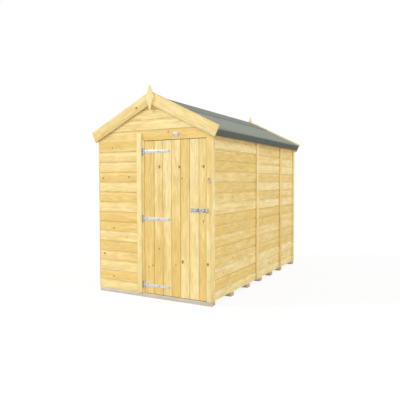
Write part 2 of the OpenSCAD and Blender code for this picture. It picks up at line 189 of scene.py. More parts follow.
class PieceMesh:
    """Gathers the solids of one piece, with the marks that its finish reads."""

    # Cosines from which a face is end grain, and from which it lies flat.
    end_turn = 0.4
    flat_turn = 0.96

    def __init__(self, name: str, lot: str = "") -> None:
        """Starts an empty piece with its own row of seeded draws.

        Args:
            name: name of the piece.
            lot: name of the lot, each of which has draws of its own.
        """
        self.name = name
        self.rng = random.Random(name + lot)
        self.points: list[Vector] = []
        self.faces: list[list[int]] = []
        self.grain: list[Vector] = []
        self.board: list[Triple] = []
        self.knots: tuple[list, list] = ([], [])
        self.cut: list[Triple] = []

    def add(
        self,
        solid: Solid,
        lay: Lay,
        width: float = 0.0,
        length: float = 1.0,
        tones: tuple[float, float] = (0.5, 0.5),
        knots: Sequence[Triple] = (),
    ) -> None:
        """Takes over a solid and frees it.

        Args:
            solid: closed mesh in millimetres.
            lay: how the wood in it lies.
            width: its width, so that the grain is measured from its middle.
            length: its length, over which the tone goes from the first to the second.
            tones: depth of colour at its start and at its end.
            knots: up to two knots as measures along, across and radius in metres.
        """
        start, seed = len(self.points), self.rng.uniform(0, 60)
        held = [*knots, NO_KNOT, NO_KNOT][:2]
        solid.verts.index_update()
        solid.normal_update()
        for vert in solid.verts:
            local = lay.local(vert.co)
            share = min(1.0, max(0.0, local.x / length))
            share = share * share * (3 - 2 * share)
            local.y -= width / 2
            self.points.append(vert.co * MM)
            self.grain.append(local * MM)
            self.board.append((tones[0] + (tones[1] - tones[0]) * share, seed, share))
            for row, knot in zip(self.knots, held):
                row.append(knot)
        for face in solid.faces:
            self.faces.append([start + vert.index for vert in face.verts])
            end, edge, front = (
                abs(face.normal.dot(way)) for way in (lay.along, lay.across, lay.inward)
            )
            sawn = end > self.end_turn
            arris = not sawn and max(edge, front) < self.flat_turn
            self.cut.append((float(sawn), float(arris), float(edge > self.flat_turn)))
        solid.free()

    def piece(
        self,
        finish: "Finish",
        body: Body,
        nodes: Sequence[str] = (),
        smooth: float = 35.0,
    ) -> bpy.types.Object:
        """Makes the object, rides it on its body and lets it stand for its solids.

        Args:
            finish: its finish.
            body: the body that it moves with.
            nodes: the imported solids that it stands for.
            smooth: edges that turn less than this many degrees are shaded round.

        Returns:
            The new object.
        """
        mesh = bpy.data.meshes.new(self.name)
        mesh.from_pydata(self.points, [], self.faces)
        rows = (
            ("grain", "POINT", self.grain),
            ("board", "POINT", self.board),
            ("knot_a", "POINT", self.knots[0]),
            ("knot_b", "POINT", self.knots[1]),
            ("cut", "FACE", self.cut),
        )
        for name, domain, values in rows:
            layer = mesh.attributes.new(name, "FLOAT_VECTOR", domain)
            layer.data.foreach_set("vector", [number for row in values for number in row])
        mesh.materials.append(finish.material())
        mesh.shade_smooth()
        mesh.set_sharp_from_angle(angle=math.radians(smooth))
        piece = placed(self.name, mesh)
        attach(piece, body.value)
        if nodes:
            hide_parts(*nodes)
        LOG.info("%s: %d faces on %s", self.name, len(self.faces), body.value)
        return piece


def slice_off(solid: Solid, plane: Plane) -> None:
    """Cuts away what is on the outer side of a plane and closes the cut.

    Args:
        solid: closed mesh, changed in place.
        plane: a point on the cut and the direction of the waste.
    """
    geometry = [*solid.verts, *solid.edges, *solid.faces]
    bmesh.ops.bisect_plane(
        solid, geom=geometry, dist=1e-4, plane_co=plane[0], plane_no=plane[1], clear_outer=True
    )
    rim = [edge for edge in solid.edges if edge.is_boundary]
    if rim:
        bmesh.ops.holes_fill(solid, edges=rim, sides=0)


def matched_section(
    width: float, depth: float, vee: float, scoop: float, tongue: bool, groove: bool
) -> Outline:
    """Outline of a tongued and grooved board, as places across and into it.

    Args:
        width: cover of the board.
        depth: thickness.
        vee: width of the chamfers on its face.
        scoop: width of the hollow along the far edge of its face, in place of a chamfer.
        tongue: whether the far edge has its tongue, or was ripped square.
        groove: whether the near edge has its groove, or was ripped square.

    Returns:
        The corners in order.
    """
    gap, ease, reach, taper, flare, facets = 0.25, 0.8, 5.0, 0.3, 0.2, 6
    top, low, bottom = 0.46 * depth, 0.7 * depth, reach + 1
    if tongue:
        face = [(width - vee, 0), (width - gap, vee), (width - gap, top)]
        if scoop:
            turns = [i / facets for i in range(facets + 1)]
            face = [
                (width - gap - scoop * (1 - turn), top * math.sin(turn * math.pi / 2))
                for turn in turns
            ]
        far = [
            *face, (width + reach, top + taper), (width + reach, low - taper), (width - gap, low),
            (width - gap, depth - ease), (width - gap - ease, depth),
        ]
    else:
        far = [(width - ease, 0), (width, ease), (width, depth - ease), (width - ease, depth)]
    if groove:
        near = [
            (gap + ease, depth), (gap, depth - ease), (gap, low + flare), (bottom, low),
            (bottom, top), (gap, top - flare), (gap, vee), (vee, 0),
        ]
    else:
        near = [(ease, depth), (0, depth - ease), (0, ease), (ease, 0)]
    return far + near


def close_rings(solid: Solid, rings: Sequence[Sequence[bmesh.types.BMVert]]) -> None:
    """Joins rings of points by side faces, closes both ends and turns all faces outwards.

    Args:
        solid: the mesh that the points are in.
        rings: the rings in order, of which the first may be a single point.
    """
    for ring, following in pairwise(rings):
        count = len(following)
        for i in range(count):
            j = (i + 1) % count
            near = ring if len(ring) == 1 else (ring[i], ring[j])
            solid.faces.new((*near, following[j], following[i]))
    for ring in (rings[0], rings[-1]):
        if len(ring) > 1:
            solid.faces.new(ring)
    bmesh.ops.recalc_face_normals(solid, faces=solid.faces)


def drawn_out(lay: Lay, length: float, section: Outline, sway: float, rng: random.Random) -> Solid:
    """A section drawn out along the grain, very slightly bent as real boards are.

    Args:
        lay: how the board lies.
        length: its length.
        section: its outline, as places across and into it.
        sway: how far it bends.
        rng: draws of the piece.

    Returns:
        The closed mesh.
    """
    solid = bmesh.new()
    spacing, side_wave, face_wave = 200, 310, 370
    count = max(2, round(length / spacing) + 1)
    turn, cup = rng.uniform(0, 6), rng.uniform(0, 6)
    rings = []
    for step in range(count):
        u = length * step / (count - 1)
        v = sway * math.sin(u / side_wave + turn)
        w = sway * math.sin(u / face_wave + cup)
        rings.append([solid.verts.new(lay.point(u, a + v, d + w)) for a, d in section])
    close_rings(solid, rings)
    return solid


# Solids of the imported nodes


def span(node: str, axis: Vector) -> tuple[float, float]:
    """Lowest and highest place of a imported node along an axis."""
    low, high = (round(corner.dot(axis) / MM, 2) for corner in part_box(node))
    return low, high


def extent(node: str, axis: Vector) -> float:
    """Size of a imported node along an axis."""
    low, high = span(node, axis)
    return high - low


def node_solids(node: str) -> list[Solid]:
    """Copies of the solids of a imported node, welded, in millimetres.

    Args:
        node: its name.

    Returns:
        One mesh for each solid.
    """
    whole, weld = bmesh.new(), 0.003
    whole.from_mesh(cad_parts[node].data)
    bmesh.ops.scale(whole, vec=(1 / MM,) * 3, verts=whole.verts)
    bmesh.ops.remove_doubles(whole, verts=whole.verts, dist=weld)
    solids, seen = [], set()
    for first in whole.faces:
        if first in seen:
            continue
        island, queue = [], [first]
        seen.add(first)
        while queue:
            face = queue.pop()
            island.append(face)
            for edge in face.edges:
                fresh = [other for other in edge.link_faces if other not in seen]
                seen.update(fresh)
                queue.extend(fresh)
        solid, copies = bmesh.new(), {}
        for face in island:
            for vert in face.verts:
                if vert not in copies:
                    copies[vert] = solid.verts.new(vert.co)
            solid.faces.new([copies[vert] for vert in face.verts])
        bmesh.ops.recalc_face_normals(solid, faces=solid.faces)
        solids.append(solid)
    whole.free()
    return solids


def middles(node: str, axis: Vector) -> tuple[float, ...]:
    """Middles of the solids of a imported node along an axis.

    Args:
        node: its name.
        axis: direction of the measure.

    Returns:
        One place for each solid, from the lowest up.
    """
    found = []
    for solid in node_solids(node):
        places = [vert.co.dot(axis) for vert in solid.verts]
        found.append(round((min(places) + max(places)) / 2, 2))
        solid.free()
    return tuple(sorted(found))


def plain_faces(solid: Solid) -> None:
    """Joins the triangles of each flat face of a solid, in place."""
    bmesh.ops.dissolve_limit(solid, angle_limit=FLAT_ANGLE, verts=solid.verts, edges=solid.edges)


def eased(solid: Solid, width: float) -> None:
    """Rounds the sharp edges of a solid a little.

    Args:
        solid: closed mesh, changed in place.
        width: width of the rounding.
    """
    plain_faces(solid)
    sharp = [
        edge for edge in solid.edges
        if len(edge.link_faces) == 2 and edge.calc_face_angle(0) > SHARP_ANGLE
    ]
    bmesh.ops.bevel(
        solid, geom=sharp, offset=width, offset_type="OFFSET", segments=2, profile=0.5,
        affect="EDGES", clamp_overlap=True,
    )


def undercut(solid: Solid, back: Plane, along: Vector, width: float = 4.0) -> None:
    """Chamfers the long edges at the back of a timber, which leaves a dark line beside it.

    Args:
        solid: closed mesh, changed in place.
        back: a point on the wall behind it and the direction into the wall.
        along: direction of the grain.
        width: width of the chamfer.
    """
    straight, near = 0.99, 0.1
    edges = [
        edge for edge in solid.edges
        if abs((edge.verts[1].co - edge.verts[0].co).normalized().dot(along)) > straight
        and all(abs((vert.co - back[0]).dot(back[1])) < near for vert in edge.verts)
    ]
    bmesh.ops.bevel(
        solid, geom=edges, offset=width, offset_type="OFFSET", segments=1, affect="EDGES"
    )


def lay_of(solid: Solid, along: Vector | None = None) -> tuple[Lay, Vector]:
    """Finds how the wood of a plain timber lies: along its longest edge.

    Args:
        solid: mesh of the timber.
        along: direction of the grain, where it isn't that of the longest edge.

    Returns:
        The lay, from the timber's low corner, and its sizes along, across and into it.
    """
    runs = [edge.verts[1].co - edge.verts[0].co for edge in solid.edges]
    if along is None:
        along = max(runs, key=lambda run: run.length).normalized()
    if max(along, key=abs) < 0:
        along = -along
    across = max((run - along * run.dot(along) for run in runs), key=lambda run: run.length)
    across.normalize()
    bare = Lay(Vector(), along, across, along.cross(across))
    spots = [bare.local(vert.co) for vert in solid.verts]
    low = Vector(min(spot[i] for spot in spots) for i in range(3))
    high = Vector(max(spot[i] for spot in spots) for i in range(3))
    return Lay(bare.point(*low), bare.along, bare.across, bare.inward), high - low


# Shader layout


class Graph:
    """Short words for laying out the nodes of one shader tree."""

    def __init__(self, tree: bpy.types.NodeTree) -> None:
        """Works on this tree."""
        self.tree = tree

    def node(self, kind: str, **settings: object) -> bpy.types.Node:
        """A new node.

        Args:
            kind: the node's kind, without its prefix.
            settings: properties to set on it.

        Returns:
            The node.
        """
        made = self.tree.nodes.new("ShaderNode" + kind)
        for name, value in settings.items():
            setattr(made, name, value)
        return made

    def feed(self, socket: Socket, value: Input) -> None:
        """Links a socket, or sets its value.

        Args:
            socket: the socket.
            value: the output of another node, or a plain value.
        """
        if isinstance(value, Socket):
            self.tree.links.new(value, socket)
        else:
            socket.default_value = value

    def fed(self, made: bpy.types.Node, *values: Input) -> bpy.types.Node:
        """Feeds the first sockets of a node.

        Args:
            made: the node.
            values: what they get, in order.

        Returns:
            The node.
        """
        for socket, value in zip(made.inputs, values):
            self.feed(socket, value)
        return made

    def math(self, operation: str, *values: Input, clamp: bool = False) -> Socket:
        """Result of a sum on plain values."""
        made = self.node("Math", operation=operation, use_clamp=clamp)
        return self.fed(made, *values).outputs[0]

    def times(self, a: Input, b: Input) -> Socket:
        """One value times another."""
        return self.math("MULTIPLY", a, b)

    def weighed(self, value: Input, weight: Input, base: Input, clamp: bool = False) -> Socket:
        """A value times its weight, added to a base."""
        return self.math("MULTIPLY_ADD", value, weight, base, clamp=clamp)

    def centred(self, value: Input) -> Socket:
        """A value from 0 to 1, measured from a half."""
        return self.math("SUBTRACT", value, 0.5)

    def vector(self, operation: str, *values: Input) -> Socket:
        """Result of a sum on vectors."""
        made = self.fed(self.node("VectorMath", operation=operation), *values)
        return made.outputs["Value" if operation == "LENGTH" else "Vector"]

    def split(self, value: Input) -> list[Socket]:
        """The three parts of a vector."""
        return list(self.fed(self.node("SeparateXYZ"), value).outputs)

    def join(self, *values: Input) -> Socket:
        """A vector of three values."""
        return self.fed(self.node("CombineXYZ"), *values).outputs[0]

    def noise(
        self, place: Input, scale: float, detail: float = 2.0, output: str = "Fac"
    ) -> Socket:
        """Soft noise, as a value or as a colour.

        Args:
            place: where it is read.
            scale: how fine it is.
            detail: how many finer layers it has.
            output: Fac or Color.

        Returns:
            The noise.
        """
        made = self.node("TexNoise")
        self.feed(made.inputs["Vector"], place)
        made.inputs["Scale"].default_value = scale
        made.inputs["Detail"].default_value = detail
        return made.outputs[output]

    def cells(self, place: Input, scale: Input) -> bpy.types.Node:
        """A pattern of cells round scattered points.

        Args:
            place: where it is read.
            scale: how fine it is.

        Returns:
            The node, which has a draw for each cell and the distance from its point.
        """
        made = self.node("TexVoronoi", feature="F1")
        self.feed(made.inputs["Vector"], place)
        self.feed(made.inputs["Scale"], scale)
        return made

    def step(self, value: Input, low: float, high: float) -> Socket:
        """Soft step from 0 at low to 1 at high."""
        made = self.node("MapRange", interpolation_type="SMOOTHSTEP")
        return self.fed(made, value, low, high, 0.0, 1.0).outputs[0]

    def mix(self, share: Input, a: Input, b: Input) -> Socket:
        """Colour between two others.

        Args:
            share: 0 for the first, 1 for the second.
            a: the first colour.
            b: the second colour.

        Returns:
            The colour.
        """
        made = self.node("Mix", data_type="RGBA")
        for index, given in ((0, share), (6, a), (7, b)):
            self.feed(made.inputs[index], given)
        return made.outputs[2]

    def shade(self, colour: Input, factor: Input) -> Socket:
        """A colour made lighter or darker.

        Args:
            colour: the colour.
            factor: how much of it is left.

        Returns:
            The new colour.
        """
        made = self.node("VectorMath", operation="SCALE")
        self.feed(made.inputs["Vector"], colour[:3] if isinstance(colour, tuple) else colour)
        self.feed(made.inputs["Scale"], factor)
        return made.outputs["Vector"]

    def mark(self, name: str) -> Socket:
        """A mark that the piece's mesh carries."""
        return self.node("Attribute", attribute_name=name).outputs["Vector"]


def sockets(kind: str, *names: str) -> tuple[tuple[str, str], ...]:
    """Names of a group's sockets of one kind, each with the kind."""
    return tuple((name, kind) for name in names)


class Effect:
    """A shader node group with named sockets, built once and placed in each material."""

    name: str = ""
    inputs: tuple[tuple[str, str], ...] = ()
    outputs: tuple[tuple[str, str], ...] = ()

    def lay_out(self, g: Graph, given: dict) -> dict:
        """Nodes of the effect.

        Args:
            g: the group's tree.
            given: its inputs by name.

        Returns:
            Its outputs by name.
        """
        raise NotImplementedError

    def group(self) -> bpy.types.NodeTree:
        """The group's tree, built when it is first asked for.

        Returns:
            The tree.
        """
        tree = bpy.data.node_groups.get(self.name)
        if tree is not None:
            return tree
        tree = bpy.data.node_groups.new(self.name, "ShaderNodeTree")
        for way, rows in (("INPUT", self.inputs), ("OUTPUT", self.outputs)):
            for name, kind in rows:
                tree.interface.new_socket(name, in_out=way, socket_type="NodeSocket" + kind)
        entry, leave = tree.nodes.new("NodeGroupInput"), tree.nodes.new("NodeGroupOutput")
        given = {name: entry.outputs[name] for name, _ in self.inputs}
        for name, socket in self.lay_out(Graph(tree), given).items():
            tree.links.new(socket, leave.inputs[name])
        return tree

    def place(self, g: Graph, given: dict) -> dict:
        """Places the effect in a tree.

        Args:
            g: the tree.
            given: values or sockets for its inputs by name.

        Returns:
            Its outputs by name.
        """
        made = g.node("Group", node_tree=self.group())
        for name, value in given.items():
            g.feed(made.inputs[name], value)
        return {name: made.outputs[name] for name, _ in self.outputs}


class KnotEffect(Effect):
    """One knot: its heart, the dark bark round it, and how far it pushes the rings aside."""

    name = "pine_knot"
    inputs = sockets("Vector", "Point", "Knot")
    outputs = sockets("Float", "Heart", "Bark", "Push")

    def lay_out(self, g: Graph, given: dict) -> dict:
        """Nodes of the knot, measured from its middle in shares of its radius.

        Args:
            g: the group's tree.
            given: its inputs by name.

        Returns:
            Its outputs by name.
        """
        u, v, _ = g.split(given["Point"])
        knot_u, knot_v, radius = g.split(given["Knot"])
        along = g.times(g.math("SUBTRACT", u, knot_u), 0.7)
        across = g.math("SUBTRACT", v, knot_v)
        away = g.vector("LENGTH", g.join(along, across, 0.0))
        share = g.math("DIVIDE", away, g.math("MAXIMUM", radius, 0.0001))
        ragged = g.centred(g.noise(given["Point"], 170.0))
        edge = g.weighed(ragged, 0.6, share)
        rim = g.times(g.step(edge, 0.55, 0.92), g.step(edge, 1.55, 0.98))
        lift = g.step(share, 4.2, 0.0)
        push = g.times(g.times(lift, lift), g.times(radius, 1.3))
        return {"Heart": g.step(edge, 1.0, 0.7), "Bark": rim, "Push": push}


FIGURE = ("Late", "Fibre", "Streak", "Band", "Patch", "Heart", "Bark", "Fleck")


class FigureEffect(Effect):
    """Figure of a sawn board: growth rings of a log round a pith, with fibres and streaks."""

    name = "pine_figure"
    inputs = sockets("Vector", "Point", "Board", "Knot A", "Knot B") + sockets("Float", "Ring")
    outputs = sockets("Float", *FIGURE)

    def lay_out(self, g: Graph, given: dict) -> dict:
        """Nodes of the figure; each board has its own pith, tilt and noise from its seed.

        Args:
            g: the group's tree.
            given: its inputs by name.

        Returns:
            Its outputs by name.
        """
        knots = [
            KnotEffect().place(g, {"Point": given["Point"], "Knot": given[name]})
            for name in ("Knot A", "Knot B")
        ]
        _, seed, _ = g.split(given["Board"])
        draw = g.node("TexWhiteNoise", noise_dimensions="1D")
        g.feed(draw.inputs["W"], seed)
        draw_a, draw_b, draw_c = g.split(draw.outputs["Color"])
        shift = g.vector("MULTIPLY", g.join(seed, seed, seed), (3.7, 1.9, 5.3))

        def stretched(along: float, across: float, detail: float, output: str = "Fac") -> Socket:
            """Noise with its own scale along and across the grain, shifted for each board."""
            scaled = g.vector("MULTIPLY", given["Point"], (along, across, across))
            return g.noise(g.vector("ADD", scaled, shift), 1.0, detail, output)

        sway_u, sway_v, _ = g.split(stretched(2.4, 10.0, 2.0, "Color"))
        u, v, w = g.split(given["Point"])
        lean = g.times(g.centred(draw_c), 0.035)
        side = g.weighed(g.centred(draw_a), 0.1, v)
        side = g.weighed(u, lean, side)
        side = g.weighed(g.centred(sway_u), 0.022, side)
        deep = g.math("ADD", g.weighed(draw_b, 0.06, 0.012), w)
        deep = g.weighed(u, g.times(draw_a, 0.014), deep)
        deep = g.weighed(g.centred(sway_v), 0.022, deep)
        radius = g.vector("LENGTH", g.join(side, deep, 0.0))
        for knot in knots:
            radius = g.math("ADD", radius, knot["Push"])
        uneven = g.noise(g.join(radius, seed, 0.0), 60.0, 1.0)
        count = g.weighed(uneven, 1.6, g.math("DIVIDE", radius, given["Ring"]))
        share = g.math("FRACT", count)
        return {
            "Late": g.times(g.step(share, 0.3, 0.9), g.step(share, 1.0, 0.94)),
            "Fibre": stretched(11.0, 620.0, 2.0),
            "Streak": stretched(0.9, 24.0, 3.0),
            "Band": stretched(8.0, 62.0, 2.0),
            "Patch": stretched(5.0, 15.0, 2.0),
            "Fleck": g.step(stretched(60.0, 900.0, 1.0), 0.68, 0.78),
            **{
                name: g.math("ADD", knots[0][name], knots[1][name], clamp=True)
                for name in ("Heart", "Bark")
            },
        }


class TimberEffect(Effect):
    """Colour, roughness and relief of timber from its figure and its cuts."""

    name = "timber_surface"
    inputs = (
        *sockets("Float", *FIGURE), *sockets("Vector", "Board", "Cut"),
        *sockets(
            "Color", "Pale Colour", "Deep Colour", "Late Colour", "Knot Colour", "End Colour"
        ),
        *sockets("Float", "Late Share", "Arris Shade", "Edge Shade", "Base Roughness"),
    )
    outputs = sockets("Color", "Colour") + sockets("Float", "Roughness", "Height")

    def lay_out(self, g: Graph, given: dict) -> dict:
        """Nodes of the colours, one effect laid over the other.

        Args:
            g: the group's tree.
            given: its inputs by name.

        Returns:
            Its outputs by name.
        """
        tone, _, _ = g.split(given["Board"])
        end, arris, edge = g.split(given["Cut"])
        streak, patch, fibre, band = (
            g.centred(given[name]) for name in ("Streak", "Patch", "Fibre", "Band")
        )
        depth = g.weighed(patch, 0.9, g.weighed(streak, 1.9, tone), clamp=True)
        colour = g.mix(depth, given["Pale Colour"], given["Deep Colour"])
        late = g.times(given["Late"], given["Late Share"])
        colour = g.mix(late, colour, given["Late Colour"])
        for value, weight in ((fibre, 0.16), (band, 0.44), (patch, -0.2)):
            colour = g.shade(colour, g.weighed(value, weight, 1.0))
        bark = g.shade(given["Knot Colour"], 0.66)
        sawn = g.mix(late, given["End Colour"], g.shade(given["Late Colour"], 0.8))
        layers = (
            (given["Fleck"], 0.3, given["Late Colour"]),
            (given["Heart"], 0.85, given["Knot Colour"]),
            (given["Bark"], 0.7, bark),
            (end, 0.75, sawn),
        )
        for mask, weight, over in layers:
            colour = g.mix(g.times(mask, weight), colour, over)
        # Painted shade: chamfers and narrow edges are darkened, which deepens the lines at joints
        # and under boards.
        chamfer_painted_shade = g.math("SUBTRACT", 1.0, g.times(arris, given["Arris Shade"]))
        sides = g.math("SUBTRACT", 1.0, g.times(edge, given["Edge Shade"]))
        colour = g.shade(colour, g.times(chamfer_painted_shade, sides))
        rough = g.weighed(fibre, 0.25, given["Base Roughness"])
        rough = g.weighed(end, 0.2, rough)
        rough = g.weighed(given["Heart"], -0.15, rough, clamp=True)
        height = g.weighed(given["Fibre"], 0.55, late)
        height = g.weighed(given["Bark"], -0.8, height)
        return {"Colour": colour, "Roughness": rough, "Height": height}


class GranuleEffect(Effect):
    """Mineral granules on roofing felt, with soft mottling over the sheet."""

    name = "felt_granules"
    inputs = sockets("Vector", "Point")
    outputs = sockets("Float", "Granule", "Mottle", "Height")

    def lay_out(self, g: Graph, given: dict) -> dict:
        """Nodes of the granules and of the mottling.

        Args:
            g: the group's tree.
            given: its inputs by name.

        Returns:
            Its outputs by name.
        """
        grit = g.cells(given["Point"], 620.0)
        red, green, _ = g.split(grit.outputs["Color"])
        streaked = g.vector("MULTIPLY", given["Point"], (7.0, 2.0, 7.0))
        soft = g.noise(streaked, 1.0, 4.0)
        fine = g.noise(given["Point"], 45.0, 3.0)
        mottle = g.weighed(g.centred(fine), 0.6, soft)
        crown = g.math("SUBTRACT", 0.6, grit.outputs["Distance"])
        return {"Granule": red, "Mottle": mottle, "Height": g.weighed(green, 0.5, crown)}


class SpangleEffect(Effect):
    """Crystals and handling marks of zinc plating."""

    name = "zinc_spangle"
    inputs = sockets("Vector", "Point") + sockets("Float", "Size")
    outputs = sockets("Float", "Spangle", "Scuff", "Height")

    def lay_out(self, g: Graph, given: dict) -> dict:
        """Nodes of the crystals and of the marks.

        Args:
            g: the group's tree.
            given: its inputs by name.

        Returns:
            Its outputs by name.
        """
        crystal = g.cells(given["Point"], given["Size"])
        red, _, _ = g.split(crystal.outputs["Color"])
        drawn = g.vector("MULTIPLY", given["Point"], (90.0, 900.0, 900.0))
        scuff = g.step(g.noise(drawn, 1.0, 3.0), 0.5, 0.75)
        height = g.weighed(scuff, 0.4, g.noise(given["Point"], 800.0))
        return {"Spangle": red, "Scuff": scuff, "Height": height}


# Finishes


def paint(code: str) -> tuple[float, float, float, float]:
    """A colour from its hex code, as a shader reads it."""
    parts = [int(code[i : i + 2], 16) / 255 for i in (1, 3, 5)]
    return (*(c / 12.92 if c <= 0.04045 else ((c + 0.055) / 1.055) ** 2.4 for c in parts), 1.0)


def fresh_material(name: str) -> tuple[bpy.types.Material, Graph, bpy.types.Node]:
    """A new material with its main shader.

    Args:
        name: its name.

    Returns:
        The material, its tree and the shader node.
    """
    made = bpy.data.materials.new(name)
    made.use_nodes = True
    return made, Graph(made.node_tree), made.node_tree.nodes["Principled BSDF"]


def relief(
    g: Graph, shader: bpy.types.Node, height: Input, distance: float, strength: float
) -> None:
    """Raises the surface by a height.

    Args:
        g: the material's tree.
        shader: its main shader.
        height: the height.
        distance: height of 1, in metres.
        strength: how much of it shows.
    """
    bump = g.node("Bump")
    bump.inputs["Strength"].default_value = strength
    bump.inputs["Distance"].default_value = distance
    g.feed(bump.inputs["Height"], height)
    g.feed(shader.inputs["Normal"], bump.outputs["Normal"])


@dataclass(frozen=True)
class TimberFinish:
    """Finish of a kind of timber.

    Args:
        slot: the record's material slot.
        pale: colour of the palest boards.
        deep: colour of the deepest boards.
        late: colour of the late wood in the rings.
        knot: colour of the knots.
        end: colour of end grain.
        ring: width of the growth rings in metres.
        late_share: how much the rings stand out.
        arris: how much painted shade darkens the chamfers.
        edge: how much painted shade darkens the narrow edges, a stand-in for the shadow line under
            a board.
        rough: roughness of the planed face.
        gloss: how much it mirrors.
        raised: height of the grain in metres.
        shown: how much of that height shows.
        label: the material's name, where it isn't that of the slot.
    """

    slot: str
    pale: str = "#fdebae"
    deep: str = "#eecf7e"
    late: str = "#dda64d"
    knot: str = "#976a1c"
    end: str = "#e2bd78"
    ring: float = 0.0052
    late_share: float = 0.42
    arris: float = 0.2
    edge: float = 0.0
    rough: float = 0.58
    gloss: float = 0.3
    raised: float = 0.00035
    shown: float = 0.6
    label: str = ""

    def material(self) -> bpy.types.Material:
        """The material of the timber.

        Returns:
            The material.
        """
        made, g, shader = fresh_material((self.label or self.slot) + "_finish")
        board, cut = g.mark("board"), g.mark("cut")
        figure = FigureEffect().place(
            g,
            {
                "Point": g.mark("grain"), "Board": board, "Knot A": g.mark("knot_a"),
                "Knot B": g.mark("knot_b"), "Ring": self.ring,
            },
        )
        surface = TimberEffect().place(
            g,
            {
                **figure, "Board": board, "Cut": cut, "Pale Colour": paint(self.pale),
                "Deep Colour": paint(self.deep), "Late Colour": paint(self.late),
                "Knot Colour": paint(self.knot), "End Colour": paint(self.end),
                "Late Share": self.late_share, "Arris Shade": self.arris,
                "Edge Shade": self.edge, "Base Roughness": self.rough,
            },
        )
        g.feed(shader.inputs["Base Color"], surface["Colour"])
        g.feed(shader.inputs["Roughness"], surface["Roughness"])
        shader.inputs["Specular IOR Level"].default_value = self.gloss
        relief(g, shader, surface["Height"], self.raised, self.shown)
        return made


@dataclass(frozen=True)
class FeltFinish:
    """Finish of the roofing felt.

    Args:
        slot: the record's material slot.
        light: colour of the palest granules.
        dark: colour of the darkest granules.
        turned: colour of the part turned down at the eaves, painted darker as shade.
        rough: roughness of the dullest granules.
        gloss: how much it mirrors.
        raised: height of the granules in metres.
        shown: how much of that height shows.
    """

    slot: str
    light: str = "#9ba195"
    dark: str = "#80867c"
    turned: str = "#61685e"
    rough: float = 0.84
    gloss: float = 0.25
    raised: float = 0.0009
    shown: float = 0.7

    def material(self) -> bpy.types.Material:
        """The material of the felt.

        Returns:
            The material.
        """
        made, g, shader = fresh_material(self.slot + "_finish")
        grit = GranuleEffect().place(g, {"Point": g.mark("grain")})
        fold, _, _ = g.split(g.mark("board"))
        share = g.weighed(g.centred(grit["Mottle"]), 0.9, grit["Granule"])
        share = g.weighed(share, 0.7, 0.15, clamp=True)
        colour = g.mix(share, paint(self.dark), paint(self.light))
        # The turned-down part gets a darker colour: painted shade, since it faces sideways and
        # down.
        low = g.shade(paint(self.turned), g.weighed(share, 0.3, 0.85))
        g.feed(shader.inputs["Base Color"], g.mix(fold, colour, low))
        g.feed(shader.inputs["Roughness"], g.weighed(grit["Granule"], 0.12, self.rough))
        shader.inputs["Specular IOR Level"].default_value = self.gloss
        relief(g, shader, grit["Height"], self.raised, self.shown)
        return made


@dataclass(frozen=True)
class ZincFinish:
    """Finish of plated steel fittings.

    Args:
        name: the material's name.
        bright: colour of the brightest crystals.
        dull: colour of the dullest crystals.
        rough: roughness of clean plating.
        crystals: crystals in a metre.
        raised: height of the marks in metres.
        shown: how much of that height shows.
        slot: the record's material slot; not used.
    """

    name: str
    bright: str = "#e0e2e6"
    dull: str = "#cccfd5"
    rough: float = 0.34
    crystals: float = 240.0
    raised: float = 0.00006
    shown: float = 0.5
    slot: str = "galvanised_steel"

    def material(self) -> bpy.types.Material:
        """The material of the plating.

        Returns:
            The material.
        """
        made, g, shader = fresh_material(self.name)
        zinc = SpangleEffect().place(g, {"Point": g.mark("grain"), "Size": self.crystals})
        colour = g.mix(zinc["Spangle"], paint(self.dull), paint(self.bright))
        scuff = g.times(zinc["Scuff"], 0.35)
        g.feed(shader.inputs["Base Color"], g.mix(scuff, colour, paint(self.dull)))
        rough = g.weighed(zinc["Spangle"], 0.14, self.rough)
        g.feed(shader.inputs["Roughness"], g.weighed(zinc["Scuff"], 0.12, rough))
        shader.inputs["Metallic"].default_value = 1.0
        relief(g, shader, zinc["Height"], self.raised, self.shown)
        return made


class Finish(Enum):
    """All the finishes of the shed."""

    CLADDING = TimberFinish("cladding_pine", arris=0.13)
    DOOR = TimberFinish("door_pine")
    TRIM = TimberFinish("trim_pine", late_share=0.34, arris=0.06)
    # Bargeboards: strong painted shade on chamfers and narrow edges, a stand-in for the shadow line
    # under them.
    BARGE = TimberFinish("trim_pine", arris=0.5, edge=0.5, label="bargeboard_pine")
    FRAMING = TimberFinish(
        "frame_pine", pale="#f4dfae", deep="#e6c17c", rough=0.74, raised=0.0006
    )
    FLOOR = TimberFinish("floor_pine", pale="#f3dcaa", deep="#e0b873", rough=0.66)
    ROOF = TimberFinish("roof_pine", pale="#f3dba6", deep="#e3bd78", rough=0.7)
    BEARER = TimberFinish(
        "bearer_timber", pale="#dcd3c4", deep="#c4b8a5", late="#a5977c", knot="#6d5a43",
        end="#c9c0a8", late_share=0.3, rough=0.82, raised=0.0008,
    )
    FELT = FeltFinish("roof_felt")
    ZINC = ZincFinish("bright_zinc")
    LEAF_ZINC = ZincFinish("dull_zinc", "#d2d2dd", "#b3b3bf", 0.42)
    PLATE_ZINC = ZincFinish("blotched_zinc", "#d8dae0", "#adb0b9", 0.38, 160.0)
    ROD_ZINC = ZincFinish("rod_zinc", "#c1c9b5", "#97a18d", 0.3)
    # Screw heads are dark plating; their dark colour also stands in for painted shade in the holes
    # round them.
    SCREW = ZincFinish("dark_screw_plating", "#4b4852", "#2f2d33", 0.4, 900.0)
    NAIL = ZincFinish("nail_steel", "#b9ad92", "#8e8166", 0.5, 900.0)

    @cache
    def material(self) -> bpy.types.Material:
        """The material of the finish, made once."""
        return self.value.material()


# Panels, timbers and fasteners


